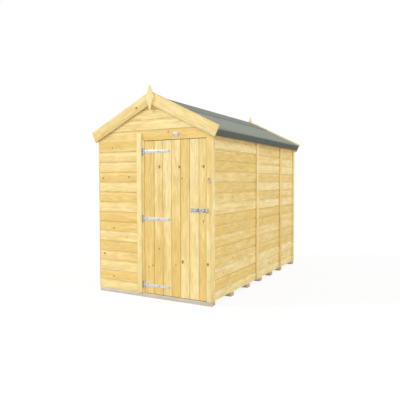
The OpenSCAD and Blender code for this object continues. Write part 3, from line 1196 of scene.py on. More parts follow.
@dataclass
class Woodwork:
    """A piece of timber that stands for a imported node.

    Args:
        name: name of the piece.
        node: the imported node.
        finish: its finish.
        body: body that the piece moves with.
    """

    name: str
    node: str
    finish: Finish
    body: Body = field(default=Body.SHED, kw_only=True)

    def build(self) -> PieceMesh:
        """Builds the meshes of the piece."""
        raise NotImplementedError

    def dress(self) -> bpy.types.Object:
        """Builds the piece and gives it its finish."""
        return self.build().piece(self.finish, self.body, [self.node])


@dataclass
class BoardPanel(Woodwork):
    """A panel of tongued and grooved boards.

    Args:
        lay: how the panel's boards lie, from its low corner.
        length: length of the boards.
        joints: places of the joints across the panel, with both its edges.
        depth: thickness of the boards.
        tones: tone of each board, or none for drawn ones.
        ends: tone at the far end of each board, where it changes.
        knots: knots seen in the panel, by place from the lay's origin.
        cuts: planes that the boards are cut along.
        breaks: rows that are two boards, each with the place along the row where they meet.
        vee: width of the chamfers at the joints.
        scoop: width of the hollow over each joint's lip, for shiplap boards.
        knotty: share of boards that get a drawn knot.
        sway: how far the boards bend.
        clear: how far a drawn knot stays from the edges of its board.
    """

    lay: Lay
    length: float
    joints: Sequence[float]
    depth: float
    tones: Sequence[Tone] = ()
    ends: Sequence[Tone] = ()
    knots: Sequence[Knot] = ()
    cuts: Sequence[Plane] = ()
    breaks: Sequence[tuple[int, float]] = ()
    vee: float = 3.6
    scoop: float = 0.0
    knotty: float = 0.45
    sway: float = 0.25
    clear: float = 14.0

    def board_tones(self, index: int, rng: random.Random) -> tuple[float, float]:
        """Tones of one board.

        Args:
            index: its number in the panel.
            rng: draws of the piece.

        Returns:
            Tones at its start and its end.
        """
        drawn = rng.uniform(-0.06, 0.06)
        if index < len(self.tones):
            start = self.tones[index].value
            end = self.ends[index].value if index < len(self.ends) else start
        else:
            start = end = rng.choice(list(Tone)).value
        return start + drawn, end + drawn

    def board_knots(self, low: float, high: float, rng: random.Random) -> list[Triple]:
        """Knots of the board between two joints.

        Args:
            low: the near joint.
            high: the far joint.
            rng: draws of the piece.

        Returns:
            Each knot in metres, measured from the board's own middle line.
        """
        middle = (low + high) / 2
        found = [
            (knot.along * MM, (knot.across - middle) * MM, knot.radius * MM)
            for knot in self.knots if low <= knot.across < high
        ]
        if not found and rng.random() < self.knotty:
            reach = max(0.0, (high - low) / 2 - self.clear)
            along = rng.uniform(0.08, 0.92) * self.length * MM
            found.append((along, rng.uniform(-reach, reach) * MM, rng.uniform(3.0, 8.5) * MM))
        return found

    def build(self) -> PieceMesh:
        """Builds the boards one after the other.

        Returns:
            The mesh of the piece.
        """
        mesh = PieceMesh(self.name)
        last, broken = len(self.joints) - 2, dict(self.breaks)
        for index, (low, high) in enumerate(pairwise(self.joints)):
            width = high - low
            section = matched_section(
                width, self.depth, self.vee, self.scoop, index < last, index > 0
            )
            tones = self.board_tones(index, mesh.rng)
            knots = self.board_knots(low, high, mesh.rng)
            ends = [0.0, *([broken[index]] if index in broken else []), self.length]
            for part, (start, end) in enumerate(pairwise(ends)):
                lay = self.lay.shifted(start, low)
                solid = drawn_out(lay, end - start, section, self.sway, mesh.rng)
                for plane in self.cuts:
                    slice_off(solid, plane)
                own = [(u - start * MM, v, radius) for u, v, radius in knots]
                pair = (tones[part],) * 2 if index in broken else tones
                mesh.add(solid, lay, width, end - start, pair, own)
        return mesh


@dataclass
class Timbers(Woodwork):
    """Plain timbers that follow the solids of their node, with their edges eased.

    Args:
        ease: width of the eased edges.
        tones: letters of the tones at the start and the end of each timber, pair after pair
            from the front of the shed, or none for drawn tones.
        along: direction of the grain, where it isn't that of the longest edge.
        knots: knots as shares of the length and of half the width, and radius.
        knotty: share of timbers that get drawn knots.
        lot: name of the lot that their grain is drawn from.
        back: a point on the wall behind them and the direction into it, where their back edges
            are chamfered.
    """

    ease: float = 1.2
    tones: str = ""
    along: Vector | None = None
    knots: Sequence[Knot] = ()
    knotty: float = 0.6
    lot: str = ""
    back: Plane | None = None

    def timber_knots(self, size: Vector, rng: random.Random) -> list[Triple]:
        """Knots of one timber.

        Args:
            size: its sizes along, across and into it.
            rng: draws of the piece.

        Returns:
            Each knot in metres, measured from the timber's own middle line.
        """
        knots = [
            (knot.along * size.x * MM, knot.across * size.y / 2 * MM, knot.radius * MM)
            for knot in self.knots
        ]
        while len(knots) < 2 and rng.random() < self.knotty:
            along = rng.uniform(0.05, 0.95) * size.x * MM
            across = rng.uniform(-0.35, 0.35) * size.y * MM
            knots.append((along, across, rng.uniform(3.0, 7.0) * MM))
        return knots

    def build(self) -> PieceMesh:
        """Builds each timber from its solid.

        Returns:
            The mesh of the piece.
        """
        mesh = PieceMesh(self.name, self.lot)
        row = Tone.row(self.tones)
        solids = sorted(node_solids(self.node), key=lambda solid: min(v.co.y for v in solid.verts))
        for index, solid in enumerate(solids):
            plain_faces(solid)
            lay, size = lay_of(solid, self.along)
            if self.back is not None:
                undercut(solid, self.back, lay.along)
            eased(solid, self.ease)
            drawn = mesh.rng.uniform(-0.06, 0.06)
            if row:
                pair = row[2 * index % len(row):][:2]
                tones = tuple(tone.value + drawn for tone in pair)
            else:
                tones = (mesh.rng.uniform(0.15, 0.85),) * 2
            knots = self.timber_knots(size, mesh.rng)
            mesh.add(solid, lay, size.y, size.x, tones, knots)
        return mesh


class Head(Enum):
    """Kinds of nail heads, by their outline: shares of the radius and heights."""

    BRAD = ((0.0, 0.35), (0.6, 0.3), (1.0, 0.0), (1.0, -1.2))
    CLOUT = ((0.0, 1.2), (0.7, 1.1), (1.0, 0.7), (1.0, -0.8))


def nail_head(mesh: PieceMesh, head: Head, place: Vector, out: Vector, radius: float) -> None:
    """Adds a nail head to a piece.

    Args:
        mesh: the piece.
        head: kind of head.
        place: point on the surface.
        out: direction away from the surface.
        radius: radius of the head.
    """
    solid, sides = bmesh.new(), 10
    turn = out.to_track_quat("Z", "Y").to_matrix()
    angles = [math.tau * i / sides for i in range(sides)]
    rings = []
    for share, height in head.value:
        wide = radius * share
        spots = [Vector((wide * math.cos(a), wide * math.sin(a), height)) for a in angles]
        ring = spots if share else spots[:1]
        rings.append([solid.verts.new(place + turn @ spot) for spot in ring])
    close_rings(solid, rings)
    mesh.add(solid, Lay(place, turn @ X, turn @ Y, out))


def screw_head(mesh: PieceMesh, place: Vector, out: Vector, radius: float, height: float) -> None:
    """Adds a screw head with a cross recess to a piece.

    Args:
        mesh: the piece.
        place: point on the surface.
        out: direction away from the surface.
        radius: radius of the head.
        height: height of the head.
    """
    solid = bmesh.new()
    facing = out.to_track_quat("Z", "Y").to_matrix()
    turn = facing @ Matrix.Rotation(mesh.rng.uniform(0, 3), 3, "Z")
    thin, arm, floor, buried = 0.15 * radius, 0.56 * radius, 0.25 * height, -0.8
    corner = [(arm, -thin), (arm, thin), (thin, thin)]
    cross = [
        (x * math.cos(q) - y * math.sin(q), x * math.sin(q) + y * math.cos(q))
        for q in (i * math.pi / 2 for i in range(4)) for x, y in corner
    ]
    angles = [math.atan2(y, x) for x, y in cross]
    outlines = [(cross, floor), (cross, height)]
    for share, rise in ((0.72, height), (0.93, 0.62 * height), (1.0, 0.0), (1.0, buried)):
        wide = share * radius
        outlines.append(([(wide * math.cos(a), wide * math.sin(a)) for a in angles], rise))
    rings = [
        [solid.verts.new(place + turn @ Vector((x, y, rise))) for x, y in outline]
        for outline, rise in outlines
    ]
    close_rings(solid, rings)
    mesh.add(solid, Lay(place, turn @ X, turn @ Y, out))


def nails(
    name: str, places: Iterable[tuple[Vector, Vector]], body: Body = Body.SHED,
    head: Head = Head.BRAD, radius: float = 1.9,
) -> bpy.types.Object:
    """A piece of nail heads.

    Args:
        name: name of the piece.
        places: point and outward direction of each.
        body: body that they move with.
        head: kind of head.
        radius: radius of the heads.

    Returns:
        The piece.
    """
    mesh = PieceMesh(name)
    for place, out in places:
        nail_head(mesh, head, place, out, radius * mesh.rng.uniform(0.92, 1.08))
    return mesh.piece(Finish.NAIL, body)


def screws(
    name: str, places: Iterable[tuple[Vector, float]], out: Vector, body: Body, height: float = 1.6
) -> bpy.types.Object:
    """A piece of cross-headed screws.

    Args:
        name: name of the piece.
        places: point of each on the surface, and radius of its head.
        out: direction away from the surface.
        body: body that they move with.
        height: height of the heads.

    Returns:
        The piece.
    """
    mesh = PieceMesh(name)
    for place, radius in places:
        screw_head(mesh, place, out, radius, height)
    return mesh.piece(Finish.SCREW, body)


# Sub-assemblies


@dataclass
class Floor:
    """Bearers on the ground with two panels of floorboards on them.

    Args:
        half_width: half the width of the floor.
        top: height of the floor.
        depth: thickness of the boards.
        cover: cover of a board.
        first: width of the first board, ripped to fit.
        least: least width of the last board.
        bearers: middles of the bearers.
        nailed: least width of a board that is nailed.
        nail_side: how far the two nails on a bearer are from a board's middle.
    """

    half_width: float = span("floor_front_panel", X)[1]
    top: float = span("floor_front_panel", Z)[1]
    depth: float = extent("floor_front_panel", Z)
    cover: float = 114.0
    first: float = 60.0
    least: float = 30.0
    bearers: tuple[float, ...] = middles("floor_bearers", Y)
    nailed: float = 90.0
    nail_side: float = 32.0

    def panel(self, part: str) -> None:
        """One panel, with its boards along the shed.

        Args:
            part: front or rear.
        """
        name, node = f"floorboards_{part}", f"floor_{part}_panel"
        (start, end), width = span(node, Y), 2 * self.half_width
        lines = [self.first + self.cover * i for i in range(math.ceil(width / self.cover))]
        joints = [0.0, *(line for line in lines if line < width - self.least), width]
        lay = Lay(Vector((-self.half_width, start, self.top)), Y, X, -Z)
        BoardPanel(
            name, node, Finish.FLOOR, lay, end - start, joints, self.depth, vee=0.9
        ).dress()
        spots = [
            (Vector(((a + b) / 2 - self.half_width + side * self.nail_side, y, self.top)), Z)
            for y in self.bearers if start < y < end
            for a, b in pairwise(joints) if b - a > self.nailed
            for side in (-1, 1)
        ]
        nails(name + "_nails", spots)

    def dress(self) -> None:
        """Builds and dresses the floor."""
        Timbers("bearers", "floor_bearers", Finish.BEARER, ease=1.8).dress()
        for part in ("front", "rear"):
            self.panel(part)


@dataclass(frozen=True)
class SidePanel:
    """One of the three panels of a side wall.

    Args:
        part: front, middle or rear.
        tones: letters of the tones of its boards, from the lowest up.
        first: height of its first board.
        cover: cover of its boards.
        studs: studs behind it.
        knots: knots seen in it on the right side.
    """

    part: str
    tones: str
    first: float
    cover: float
    studs: int
    knots: tuple[Knot, ...]


@dataclass
class Walls:
    """Framed and clad walls with their posts and cover strips.

    Args:
        half_width: half the width over the cladding.
        half_length: half the length over the cladding.
        base: foot of the cladding.
        top: top of the side walls.
        head: top of the door opening.
        peak: peak of the gables.
        depth: thickness of the boards.
        first: height of the first board of the front and the back, ripped at its foot.
        cover: cover of a board there.
        sliver: least height of a ripped board.
        arris: chamfer on the lip of each board.
        scoop: width of the hollow under each lip.
        post: hinge side of the door opening.
        sides: panels of a side wall.
        strips: middles of the side strips.
        strip_front: middle of the strip beside the door.
        strip_reach: how far from a strip's middle the cladding shows no nails.
        stud_inset: middle of a panel's first stud from the panel's end.
        nail_inset: nails of the front and the back from the corner.
        nail_rise: nails from the foot of their board.
        lath: width and thickness of the lath beside the door.
        lath_foot: height of its lower end.
        lath_gap: gap over its upper end.
        lath_sunk: how far its edge is behind the cladding's face.
        reveal: edge of the latch-side post beside the door.
    """

    half_width: float = span("right_front_cladding", X)[1]
    half_length: float = span("back_wall_cladding", Y)[1]
    base: float = span("front_wall_cladding", Z)[0]
    top: float = span("right_front_cladding", Z)[1]
    head: float = span("front_wall_cladding", Z)[1]
    peak: float = span("front_gable_cladding", Z)[1]
    depth: float = extent("front_wall_cladding", Y)
    first: float = 104.5
    cover: float = 113.46
    sliver: float = 3.0
    arris: float = 0.8
    scoop: float = 16.0
    post: float = span("front_wall_cladding", X)[1]
    sides: tuple[SidePanel, ...] = (
        SidePanel(
            "front", "phpththhpththhsp", 106.0, 113.46, 3,
            (Knot(478, 1080, 6), Knot(481, 393, 6)),
        ),
        SidePanel(
            "middle", "spshtphhshshsttp", 101.0, 113.38, 3,
            (Knot(468, 1618, 6), Knot(476, 130, 7)),
        ),
        SidePanel("rear", "stshtpthstshsstp", 101.5, 112.7, 2, (Knot(263, 1609, 6),)),
    )
    strips: tuple[float, ...] = middles("right_cover_strips", Y)
    strip_front: float = middles("front_cover_strip", X)[0]
    strip_reach: float = 33.0
    stud_inset: float = 22.8
    nail_inset: float = 23.0
    nail_rise: float = 26.0
    lath: tuple[float, float] = (3.8, 11.0)
    lath_foot: float = 58.0
    lath_gap: float = 2.0
    lath_sunk: float = 0.4
    reveal: float = span("latch_side_post", X)[0]

    def joints(self, low: float, high: float, first: float, cover: float) -> list[float]:
        """Joints of a panel.

        Args:
            low: height of its foot.
            high: height of its top.
            first: height of the first board over the foot of the walls.
            cover: cover of a board.

        Returns:
            Heights of the joints over the panel's foot, with both its edges.
        """
        lines = [self.base + first + cover * i for i in range(math.ceil(self.peak / cover))]
        inside = [line - low for line in lines if low + self.sliver < line < high - self.sliver]
        return [0.0, *inside, high - low]

    def panel(
        self, name: str, node: str, lay: Lay, length: float, high: float, tones: str,
        first: float | None = None, cover: float | None = None, **more: object,
    ) -> list[float]:
        """A panel of shiplap boards.

        Args:
            name: name of the piece.
            node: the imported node.
            lay: how its boards lie, from its low corner.
            length: length of the boards.
            high: height of its top.
            tones: letters of the tones of its boards, from the lowest up.
            first: height of the first board, where it isn't that of the front wall.
            cover: cover of a board, where it isn't that of the front wall.
            more: further settings of the panel.

        Returns:
            Heights of its joints.
        """
        low = lay.origin.z
        joints = self.joints(low, high, first or self.first, cover or self.cover)
        BoardPanel(
            name, node, Finish.CLADDING, lay, length, joints, self.depth, Tone.row(tones),
            vee=self.arris, scoop=self.scoop, **more,
        ).dress()
        return [low + joint for joint in joints]

    def gable_cuts(self) -> list[Plane]:
        """Planes of the two slopes that the gable boards are cut to.

        Returns:
            One plane for each slope.
        """
        slope = (self.peak - self.top) / self.half_width
        return [
            (Vector((side * self.half_width, 0, self.top)), Vector((side * slope, 0, 1)))
            for side in (-1, 1)
        ]

    def front(self) -> None:
        """Front wall beside the door and the gable over it."""
        corner = Vector((-self.half_width, -self.half_length, self.base))
        seen = [
            Knot(192, 1627, 6), Knot(54, 1283, 8), Knot(426, 1293, 7), Knot(64, 404, 9),
            Knot(203, 706, 7), Knot(196, 145, 7),
        ]
        rows = self.panel(
            "boards_front_left", "front_wall_cladding", Lay(corner, X, Z, Y),
            self.post + self.half_width, self.head, "phpthphhphphtph", knots=seen, knotty=0.2,
        )
        low = Vector((-self.half_width, -self.half_length, self.head))
        self.panel(
            "boards_front_gable", "front_gable_cladding", Lay(low, X, Z, Y), 2 * self.half_width,
            self.peak, "ttttp", ends=Tone.row("hsphp"),
            knots=[Knot(955, 79, 7), Knot(1105, 52, 4)], cuts=self.gable_cuts(), knotty=0.0,
            breaks=[(0, self.strip_front + self.half_width)],
        )
        x = self.nail_inset - self.half_width
        spots = [(Vector((x, -self.half_length, z + self.nail_rise)), -Y) for z in rows[:-1]]
        nails("brads_front", spots)

    def back(self) -> None:
        """Back wall with its gable."""
        corner = Vector((self.half_width, self.half_length, self.base))
        rows = self.panel(
            "boards_back", "back_wall_cladding", Lay(corner, -X, Z, -Y), 2 * self.half_width,
            self.peak, "phptphthpthphtphptpp", cuts=self.gable_cuts(),
        )
        outer = self.half_width - self.nail_inset
        spots = [
            (Vector((x, self.half_length, z + self.nail_rise)), Y)
            for x in (-outer, 0, outer) for z in rows if z < self.top - self.cover
        ]
        nails("brads_back", spots)

    def side(self, side: Side) -> None:
        """The three panels of one side wall, nailed to the studs behind them.

        Args:
            side: the side.
        """
        out, face, spots = side.value * X, side.value * self.half_width, []
        for panel in self.sides:
            part = f"{side.word}_{panel.part}"
            start, end = span(f"{part}_cladding", Y)
            lay = Lay(Vector((face, start, self.base)), Y, Z, -out)
            seen, knotty = (panel.knots, 0.25) if side is Side.RIGHT else ((), 0.45)
            rows = self.panel(
                f"boards_{part}", f"{part}_cladding", lay, end - start, self.top, panel.tones,
                panel.first, panel.cover, knots=seen, knotty=knotty,
            )
            step = (end - start - 2 * self.stud_inset) / (panel.studs - 1)
            for y in (start + self.stud_inset + step * i for i in range(panel.studs)):
                if min(abs(y - strip) for strip in self.strips) > self.strip_reach:
                    spots += [Vector((face, y, z + self.nail_rise)) for z in rows[:-1]]
        nails(f"brads_{side.word}", [(spot, out) for spot in spots])

    def latch_lath(self) -> None:
        """Thin lath on the latch-side post, which closes most of the gap beside the door."""
        mesh = PieceMesh("lath_latch_side")
        wide, deep = self.lath
        corner = Vector((self.reveal - wide, self.lath_sunk - self.half_length, self.lath_foot))
        lay = Lay(corner, Z, X, Y)
        section = [(0.0, 1.0), (0.3, 0.3), (1.0, 0.0), (wide, 0.0), (wide, deep), (0.0, deep)]
        length = self.head - self.lath_gap - self.lath_foot
        solid = drawn_out(lay, length, section, 0.0, mesh.rng)
        mesh.add(solid, lay, wide, length, (Tone.SAP.value, Tone.HONEY.value))
        mesh.piece(Finish.TRIM, Body.SHED)

    def dress(self) -> None:
        """Builds and dresses the walls."""
        self.front()
        self.back()
        for side in Side:
            self.side(side)
            name, out = side.word, side.value * X
            Timbers(f"framing_{name}", f"{name}_wall_frames", Finish.FRAMING).dress()
            Timbers(
                f"strips_{name}", f"{name}_cover_strips", Finish.TRIM, ease=2.0,
                tones="pppphtss", knotty=0.3, back=(self.half_width * out, -out),
            ).dress()
        for wall in ("front_wall", "front_gable", "back_wall", "back_gable"):
            Timbers(f"framing_{wall}", f"{wall}_frame", Finish.FRAMING).dress()
        Timbers(
            "strip_front", "front_cover_strip", Finish.TRIM, ease=2.0, tones="ps", knotty=0.0,
            lot="f", back=(-self.half_length * Y, Y),
        ).dress()
        posts = (("hinge", "tp", []), ("latch", "sh", [Knot(0.23, -0.4, 10)]))
        for place, tones, seen in posts:
            Timbers(
                f"post_{place}_side", f"{place}_side_post", Finish.TRIM, ease=1.5, tones=tones,
                knots=seen, knotty=0.0,
            ).dress()
        self.latch_lath()


@dataclass
class Roof:
    """Boarded and felted roof with its timbers, bargeboards and finials.

    Args:
        pitch: slope of the roof in degrees.
        peak: height where the tops of the boards of both slopes meet.
        half_length: half the length of the boards and of the felt.
        eave: length of the boards down the slope.
        depth: thickness of the boards.
        cover: cover of a board.
        past_ridge: how far the first boards are left long before they are cut at the ridge.
        first_short: how much narrower the first boards are.
        felt: thickness of the felt.
        lay_gap: gap between the layers.
        bend: inner radius of the felt's bend at the eave.
        drop: how far the felt turns down there.
        ridge_reach: reach of the ridge strip down each slope.
        lap_held: how far below that strip the felt lies flat.
        clouts_in_row: clout nails in a row along the roof.
        clout_inset: first and last clout from the ends of the roof.
        clout_rise: clouts of the laps from the lower edge of the ridge strip.
        clout_drop: clouts of the turned-down felt below the boards' tops.
    """

    pitch: float = 26.3
    peak: float = span("right_roof_deck", Z)[1]
    half_length: float = span("right_roof_deck", Y)[1]
    eave: float = span("right_roof_deck", X)[1] / math.cos(math.radians(pitch))
    depth: float = 11.0
    cover: float = 114.0
    past_ridge: float = 8.0
    first_short: float = 4.0
    felt: float = 2.5
    lay_gap: float = 0.05
    bend: float = 3.0
    drop: float = 78.0
    ridge_reach: float = 330.0
    lap_held: float = 40.0
    clouts_in_row: int = 19
    clout_inset: float = 35.0
    clout_rise: float = 22.0
    clout_drop: float = 30.0

    def point(self, side: Side, s: float, n: float, y: float = 0.0) -> Vector:
        """Point at s down the slope and n above the boards."""
        c, d = math.cos(math.radians(self.pitch)), math.sin(math.radians(self.pitch))
        return Vector((side.value * (s * c + n * d), y, self.peak - s * d + n * c))

    def downhill(self, side: Side) -> Vector:
        """Direction down one slope."""
        return (self.point(side, 1, 0) - self.point(side, 0, 0)).normalized()

    def outward(self, side: Side) -> Vector:
        """Direction away from the boards of one slope."""
        return (self.point(side, 0, 1) - self.point(side, 0, 0)).normalized()

    def crest(self, side: Side, n: float) -> Vector:
        """Point over the ridge where a layer at n above the boards meets the other slope's."""
        return self.point(side, -n * math.tan(math.radians(self.pitch)), n)

    def boards(self, side: Side) -> None:
        """Boards of one slope, with their chamfered faces to the inside.

        Args:
            side: side of the slope.
        """
        corner = self.point(side, 0, -self.depth, -self.half_length)
        lay = Lay(corner, Y, self.downhill(side), self.outward(side))
        count = math.ceil(self.eave / self.cover)
        lines = [self.cover * i - self.first_short for i in range(1, count)]
        out = side.value * X
        BoardPanel(
            f"roof_boards_{side.word}", f"{side.word}_roof_deck", Finish.ROOF, lay,
            2 * self.half_length, [-self.past_ridge, *lines, self.eave], self.depth,
            cuts=[(self.lay_gap * out, -out)], vee=2.0,
        ).dress()

    def sheet(
        self, name: str, node: str, rows: Sequence[tuple[Vector, Vector, float]], seed: float,
        shaded: tuple[float, float] = (0.0, 0.0),
    ) -> None:
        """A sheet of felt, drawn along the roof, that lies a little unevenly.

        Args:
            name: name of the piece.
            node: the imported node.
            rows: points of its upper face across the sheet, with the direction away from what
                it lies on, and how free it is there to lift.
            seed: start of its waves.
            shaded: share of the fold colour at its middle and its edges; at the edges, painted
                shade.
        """
        mesh = PieceMesh(name)
        solid = bmesh.new()
        count, long_wave, short_wave, fold_rise = 56, 131, 57, 4
        grids: tuple[list, list] = ([], [])
        for step in range(count):
            y = -self.half_length + 2 * self.half_length * step / (count - 1)
            wave = math.sin(y / long_wave + seed) + math.sin(y / short_wave + 2 * seed)
            for grid, under in zip(grids, (0.0, self.felt)):
                line = []
                for place, out, free in rows:
                    lift = free * (1 + 0.5 * wave) * 0.5
                    line.append(solid.verts.new(place + Y * y + out * (lift - under)))
                grid.append(line)
        last = len(rows) - 1
        for grid in grids:
            for line, following in pairwise(grid):
                for i in range(last):
                    solid.faces.new((line[i], line[i + 1], following[i + 1], following[i]))
        for a, b in zip(*(zip(grid, grid[1:]) for grid in grids)):
            for i in (0, last):
                solid.faces.new((a[0][i], a[1][i], b[1][i], b[0][i]))
        for step in (0, count - 1):
            upper, under = grids[0][step], grids[1][step]
            for i in range(last):
                solid.faces.new((upper[i], upper[i + 1], under[i + 1], under[i]))
        bmesh.ops.recalc_face_normals(solid, faces=solid.faces)
        mesh.add(solid, Lay())
        # Below this height the felt takes the darker turned colour as painted shade; shaded rows
        # take a share of it.
        turned = self.point(Side.RIGHT, self.eave, 0).z - fold_rise
        lines = [shaded[i in (0, last)] for _ in range(2 * count) for i in range(last + 1)]
        mesh.board = [
            (1.0 if place.z / MM < turned else shade, 0.0, 0.0)
            for place, shade in zip(mesh.points, lines)
        ]
        mesh.piece(Finish.FELT, Body.SHED, [node], smooth=50)

    def slope_felt(self, side: Side) -> None:
        """Felt of one slope, bent over the eave.

        Args:
            side: side of the slope.
        """
        out, down = self.outward(side), self.downhill(side)
        top, flat = self.lay_gap + self.felt, self.eave - self.bend
        held = self.ridge_reach + self.lap_held
        slope_rows, bend_rows, fold_rows = 16, 4, 6
        slope_free, bend_free, fold_free = 0.8, 0.3, 2.4
        rows = [(self.crest(side, top), out, 0.0)]
        for i in range(1, slope_rows + 1):
            s = flat * i / slope_rows
            rows.append((self.point(side, s, top), out, slope_free if s > held else 0.0))
        centre = self.point(side, flat, self.lay_gap - self.bend)
        for i in range(1, bend_rows + 1):
            a = math.pi / 2 * i / bend_rows
            away = out * math.cos(a) + down * math.sin(a)
            rows.append((centre + away * (self.bend + self.felt), away, bend_free))
        for i in range(1, fold_rows + 1):
            share = i / fold_rows
            n = -self.bend - (self.drop - self.bend) * share
            rows.append((self.point(side, self.eave + top, n), down, fold_free * share**2))
        self.sheet(f"felt_{side.word}", f"{side.word}_felt", rows, seed=1.0 + side.value)

    def ridge_strip(self) -> None:
        """Strip of felt folded over the ridge."""
        top, half_rows, edge_free = 2 * (self.lay_gap + self.felt), 6, 1.4
        rows = []
        for i in range(-half_rows, half_rows + 1):
            side = Side.RIGHT if i > 0 else Side.LEFT
            place = self.point(side, abs(i) / half_rows * self.ridge_reach, top)
            free = edge_free if abs(i) == half_rows else 0.0
            ridge = (self.crest(side, top), Z, free)
            rows.append((place, self.outward(side), free) if i else ridge)
        # Its lap edges take painted shade, a stand-in for the shadow of the laps; its middle is a
        # little darker.
        self.sheet("felt_ridge", "ridge_felt", rows, seed=4.0, shaded=(0.3, 0.62))

    def clouts(self) -> None:
        """Clout nails along the laps and the turned-down edges."""
        lap, fold = [], []
        proud, radius = 0.4, 4.0
        top, end = 2 * (self.lay_gap + self.felt), self.half_length - self.clout_inset
        for side in (Side.LEFT, Side.RIGHT):
            out, down = self.outward(side), self.downhill(side)
            for i in range(self.clouts_in_row):
                y = -end + i * 2 * end / (self.clouts_in_row - 1)
                lap.append((self.point(side, self.ridge_reach - self.clout_rise, top, y), out))
                face = self.eave + self.felt + proud
                fold.append((self.point(side, face, -self.clout_drop, y), down))
        nails("clouts_ridge", lap, head=Head.CLOUT, radius=radius)
        nails("clouts_eaves", fold, head=Head.CLOUT, radius=radius)

    def dress(self) -> None:
        """Builds and dresses the roof."""
        for side in Side:
            name = side.word
            self.boards(side)
            Timbers(f"roof_timbers_{name}", f"{name}_roof_frame", Finish.FRAMING).dress()
            self.slope_felt(side)
            for end in ("front", "back"):
                seen = [Knot(0.74, 0.1, 9)] if (name, end) == ("left", "front") else []
                Timbers(
                    f"bargeboard_{end}_{name}", f"{end}_{name}_bargeboard", Finish.BARGE,
                    ease=1.6, tones="ps" if side is Side.RIGHT else "tp", knots=seen, knotty=0.0,
                ).dress()
        self.ridge_strip()
        for end in ("front", "back"):
            Timbers(
                f"finial_{end}", f"{end}_finial", Finish.TRIM, ease=1.4, tones="ss", along=Z,
                knotty=0.0,
            ).dress()
        self.clouts()


@dataclass
class Door:
    """Ledged and braced door.

    Args:
        left: hinge side of the door.
        foot: underside of the door.
        height: height of the door.
        face: outer face of the door.
        depth: thickness of the boards.
        joints: places of the joints across the door.
        ledges: middles of the ledges.
        nail_side: how far the two nails on a ledge are from a board's middle.
        nail_rise: how far they are below and above the ledge's middle.
    """

    left: float = span("door_boards", X)[0]
    foot: float = span("door_boards", Z)[0]
    height: float = extent("door_boards", Z)
    face: float = span("door_boards", Y)[0]
    depth: float = extent("door_boards", Y)
    joints: tuple[float, ...] = (0, 126, 239, 351, 463, 574, 686, extent("door_boards", X))
    ledges: tuple[float, ...] = middles("door_ledges", Z)
    nail_side: float = 24.0
    nail_rise: float = 18.0

    def dress(self) -> None:
        """Builds and dresses the door."""
        corner = Vector((self.left, self.face, self.foot))
        seen = [
            Knot(1394, 198, 10), Knot(1390, 450, 9), Knot(1391, 741, 10), Knot(385, 487, 11),
            Knot(506, 192, 6), Knot(1269, 482, 6), Knot(827, 739, 7), Knot(501, 738, 6),
            Knot(345, 403, 5), Knot(313, 105, 6), Knot(291, 51, 5),
        ]
        BoardPanel(
            "boards_door", "door_boards", Finish.DOOR, Lay(corner, Z, X, Y), self.height,
            self.joints, self.depth, Tone.row("hhthpph"), Tone.row("hpsphsp"), seen, vee=4.6,
            knotty=0.0, body=Body.DOOR,
        ).dress()
        for part in ("ledges", "braces"):
            Timbers(
                f"{part}_door", f"door_{part}", Finish.DOOR, ease=2.0, body=Body.DOOR
            ).dress()
        rows = [(self.left + (a + b) / 2, z) for a, b in pairwise(self.joints) for z in self.ledges]
        spots = [
            (Vector((x + side * self.nail_side, self.face, z + side * self.nail_rise)), -Y)
            for x, z in rows for side in (-1, 1)
        ]
        nails("nails_door", spots, Body.DOOR, radius=2.2)


